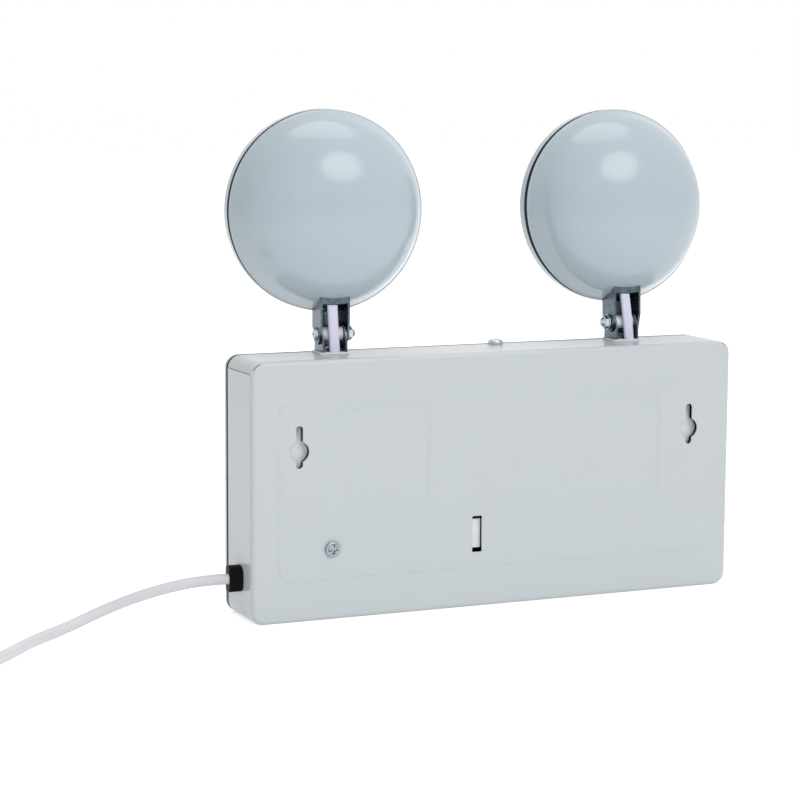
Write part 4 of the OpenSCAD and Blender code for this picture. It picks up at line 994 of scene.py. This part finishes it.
def ring_profile():
    """The front ring: a wall past the gasket and a lip over the lens."""
    outer, behind_lip = RIM_R + 0.1, FRONT_S + RING_LIP_T
    return filleted([(RING_R, -GASKET_T), (outer, -GASKET_T), (outer, FRONT_S), (RING_LIP_R, FRONT_S),
                     (RING_LIP_R, behind_lip), (RING_R, behind_lip)], (0.15, 0.4, 1.8, 0.9, 0.2, 0.2), 8)


def lens_profile():
    """The lens: a flange, and a crown that bulges to the front."""
    r = np.linspace(0, CROWN_R, 28)
    crown = CROWN * (1 - (r / CROWN_R) ** 2)
    front = np.stack([r, LENS_BACK - LENS_T - crown], -1)[::-1]
    behind = np.stack([r * DISH_R / CROWN_R, LENS_BACK - crown], -1)
    return np.concatenate([[(LENS_R, LENS_BACK), (LENS_R, LENS_BACK - LENS_T)], front, behind])


def dish_profile():
    """The reflector: a parabola round a hole for the lamps, and a flange behind the lens."""
    r = np.linspace(DISH_R, DISH_FLOOR_R, 40)
    dish = LENS_BACK + DISH_D * (1 - ((r - DISH_FLOOR_R) / (DISH_R - DISH_FLOOR_R)) ** 2)
    outside = np.stack([r + 0.6, dish + 0.9], -1)
    inner = np.stack([r, dish], -1)[::-1]
    flange = [(LENS_R, LENS_BACK), (LENS_R, LENS_BACK + 1), (43.6, LENS_BACK + 1)]
    hole = [(DISH_HOLE_R, LENS_BACK + DISH_D + 1), (DISH_HOLE_R, LENS_BACK + DISH_D)]
    return np.concatenate([flange, outside, hole, inner])


def make_head(side):
    """One lamp head: shell, gasket, front ring, lens and reflector, all turned about the lamp's axis."""
    body, rim = side + "_head", rim_matrix(side)
    shell = piece(side + "_bowl", body, HEAD_GLOSS, lathe(shell_profile(), HEAD_SEGMENTS), rim,
                  weighted=False, nodes=(side + "_head_shell",))
    lead_hole = mesh_of("cutter", box_part((-3, 3.4, 5), (3, 6.35, 24), 0.6), head_matrix(side), 30)
    cut_away(shell, linked("cutter", lead_hole))
    for name, slot, material, profile, sharp, node in (
            ("_gasket_ring", "black_rubber", BLACK_RUBBER, gasket_profile(), 32, "_head_gasket"),
            ("_front_ring", "white_shell", HEAD_GLOSS, ring_profile(), 40, "_bezel_ring"),
            ("_lens_cover", "clear_lens", CLEAR_LENS, lens_profile(), 40, "_head_lens"),
            ("_dish", "silvered_plastic", SILVERED, dish_profile(), 40, "_reflector")):
        piece(side + name, body, material, lathe(profile, HEAD_SEGMENTS), rim, sharp=sharp,
              nodes=(side + node,))


for head_side in ("right", "left"):
    make_head(head_side)


# Flat lead from the case up to each head
LEAD_FOOT_X = {"right": -0.35, "left": -2.0}
LEAD_TOP_X = {"right": 1.0, "left": 0.65}


def make_head_lead(side):
    """The flat lead: its outline carried up from the neck, slanting behind the barrel, and into the bowl."""
    z = np.linspace(-17.4, 18.4, 72)
    slant = LEAD_FOOT_X[side] + (LEAD_TOP_X[side] - LEAD_FOOT_X[side]) * (z + 8.4) / 22.4
    x = slant * smoothstep((z + 11) / 2.4) * (1 - smoothstep((z - 13.5) / 4))
    lean = math.radians(REST_TILT[side]) * smoothstep((z + 2) / 5)[:, None]
    half, r = (LEAD_W - LEAD_T) / 2, LEAD_T / 2
    outline = np.concatenate([arc(half, 0, r, -90, 90, 8), arc(-half, 0, r, 90, 270, 8)])
    y = LEAD_Y + outline[None, :, 1]
    grid = np.stack([outline[None, :, 0] + x[:, None], y * np.cos(lean) - z[:, None] * np.sin(lean),
                     y * np.sin(lean) + z[:, None] * np.cos(lean)], -1)
    upright = head_matrix(side) @ Matrix.Rotation(-math.radians(REST_TILT[side]), 4, "X")
    lead = piece(side + "_flat_lead", side + "_yoke", LEAD_SHEATH, closed_tube(grid), upright,
                 weighted=False, sharp=60, nodes=(side + "_head_lead",), ride=False)
    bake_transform(lead)


for head_side in ("right", "left"):
    make_head_lead(head_side)
    # The spacer barrel takes the lighter copy of white moulding: painted light where it sits in shade between
    # the ears
    for part_name, material, bevel in (
            ("lower_bracket", ZINC, 0.12), ("upper_bracket", ZINC, 0.12), ("tilt_bolt", NICKEL, 0.15),
            ("cap_nut", NICKEL, 0.2), ("foot_rivet", NICKEL, 0.2), ("bracket_rivets", NICKEL, 0.2),
            ("swivel_foot", WHITE_MOULDED, 0.2), ("spacer_barrel", MOULDED_PAINTED_LIGHT, 0.15),
            ("swivel_nut", ZINC, 0.2), ("led_board", WHITE_MOULDED, 0.1), ("head_leds", PHOSPHOR, 0)):
        dressed(head_side + "_" + part_name, material, bevel)

# The keyhole pockets and the battery sleeve take the lighter copy of white moulding: painted light, since
# they sit in shade behind the holes
PARTS_WITH_PAINTED_LIGHT = ("keyhole_pockets", "battery_sleeve")
for part_name, bevel in (
        ("switch_body", 0.25), ("test_button", 0.3), ("switch_spring", 0), ("indicator_leds", 0),
        ("indicator_clips", 0.15), ("keyhole_pockets", 0.1), ("terminal_block", 0.3), ("battery_sleeve", 0.1),
        ("battery_cells", 0.15), ("battery_clips", 0.1), ("circuit_board", 0.05), ("transformer", 0.3),
        ("capacitors", 0.3), ("board_standoffs", 0.1), ("board_screws", 0.2), ("earth_nut", 0.15),
        ("cover_nut", 0.15)):
    gets_painted_light = part_name in PARTS_WITH_PAINTED_LIGHT
    dressed(part_name, MOULDED_PAINTED_LIGHT if gets_painted_light else MATERIAL_OF[SLOT_OF[part_name]], bevel)


# Floor, world and lamps, placed in metres in the part's frame
def is_background_ray(tree):
    """1 for rays that see the background: from the camera, off a mirror or through glass."""
    path = add(tree, "LightPath")
    seen = math_node(tree, "MAXIMUM", path.outputs["Is Camera Ray"], path.outputs["Is Glossy Ray"])
    return math_node(tree, "MAXIMUM", seen, path.outputs["Is Transmission Ray"])


def make_floor():
    """A white floor that keeps the object's shadow."""
    mesh = bpy.data.meshes.new("floor")
    half = 6
    mesh.from_pydata([(*corner, 0) for corner in rectangle(0, 0, half, half)], [], [(0, 1, 2, 3)])
    floor = linked("floor", mesh)
    material = bpy.data.materials.new("white_floor")
    material.use_nodes = True
    tree = material.node_tree
    shader = tree.nodes["Principled BSDF"]
    fill(tree, shader, {"Base Color": (0.93, 0.93, 0.93, 1), "Roughness": 0.6, "Specular IOR Level": 0.1})
    glow = add(tree, "Emission", {"Strength": is_background_ray(tree), "Color": (0.6, 0.6, 0.6, 1)})
    both = add(tree, "AddShader", {0: shader.outputs[0], 1: glow.outputs[0]})
    fill(tree, tree.nodes["Material Output"], {"Surface": both.outputs[0]})
    mesh.materials.append(material)


def make_world():
    """White where the background is seen, and elsewhere a pale light that is stronger from -x."""
    world = bpy.data.worlds.new("studio")
    bpy.context.scene.world = world
    world.use_nodes = True
    tree = world.node_tree
    direction = add(tree, "TexCoord").outputs["Generated"]
    lean = add(tree, "VectorMath", {0: direction, 1: AMBIENT_LEAN}, operation="DOT_PRODUCT")
    ambient = math_node(tree, "MULTIPLY", math_node(tree, "ADD", lean.outputs["Value"], 1.0), AMBIENT)
    seen = is_background_ray(tree)
    unseen = math_node(tree, "MULTIPLY", math_node(tree, "SUBTRACT", 1.0, seen), ambient)
    strength = math_node(tree, "ADD", seen, unseen)
    fill(tree, tree.nodes["Background"], {"Color": (1, 1, 1, 1), "Strength": strength})


def softbox(name, place, target, size, power, mirrored=True):
    """An oval lamp that faces a point. Where it isn't mirrored, glossy surfaces don't show it."""
    lamp = bpy.data.lights.new(name, "AREA")
    lamp.shape = "ELLIPSE"
    lamp.size, lamp.size_y = size
    lamp.energy = power
    obj = linked(name, lamp)
    obj.location = place
    obj.visible_glossy = mirrored
    obj.rotation_euler = (Vector(target) - Vector(place)).to_track_quat("-Z", "Y").to_euler()


AMBIENT = 0.55
AMBIENT_LEAN = (-0.3, 0.0, 0.0)
make_floor()
make_world()
softbox("overhead", (-0.1, -0.1, 1.7), (0, 0, 0.1), (1.5, 1.1), 6.3)
softbox("upper_right", (-0.25, 1.25, 1.15), (0, 0, 0.2), (0.98, 0.8), 5.6)
softbox("fill", (0.519, 1.116, 0.575), (0.03, 0, 0.13), (0.45, 0.45), 1.9, mirrored=False)
softbox("front_fill", (-0.35, -1.25, 0.6), (0, 0, 0.12), (0.6, 0.6), 2.0, mirrored=False)

bpy.context.scene.view_settings.view_transform = "Standard"
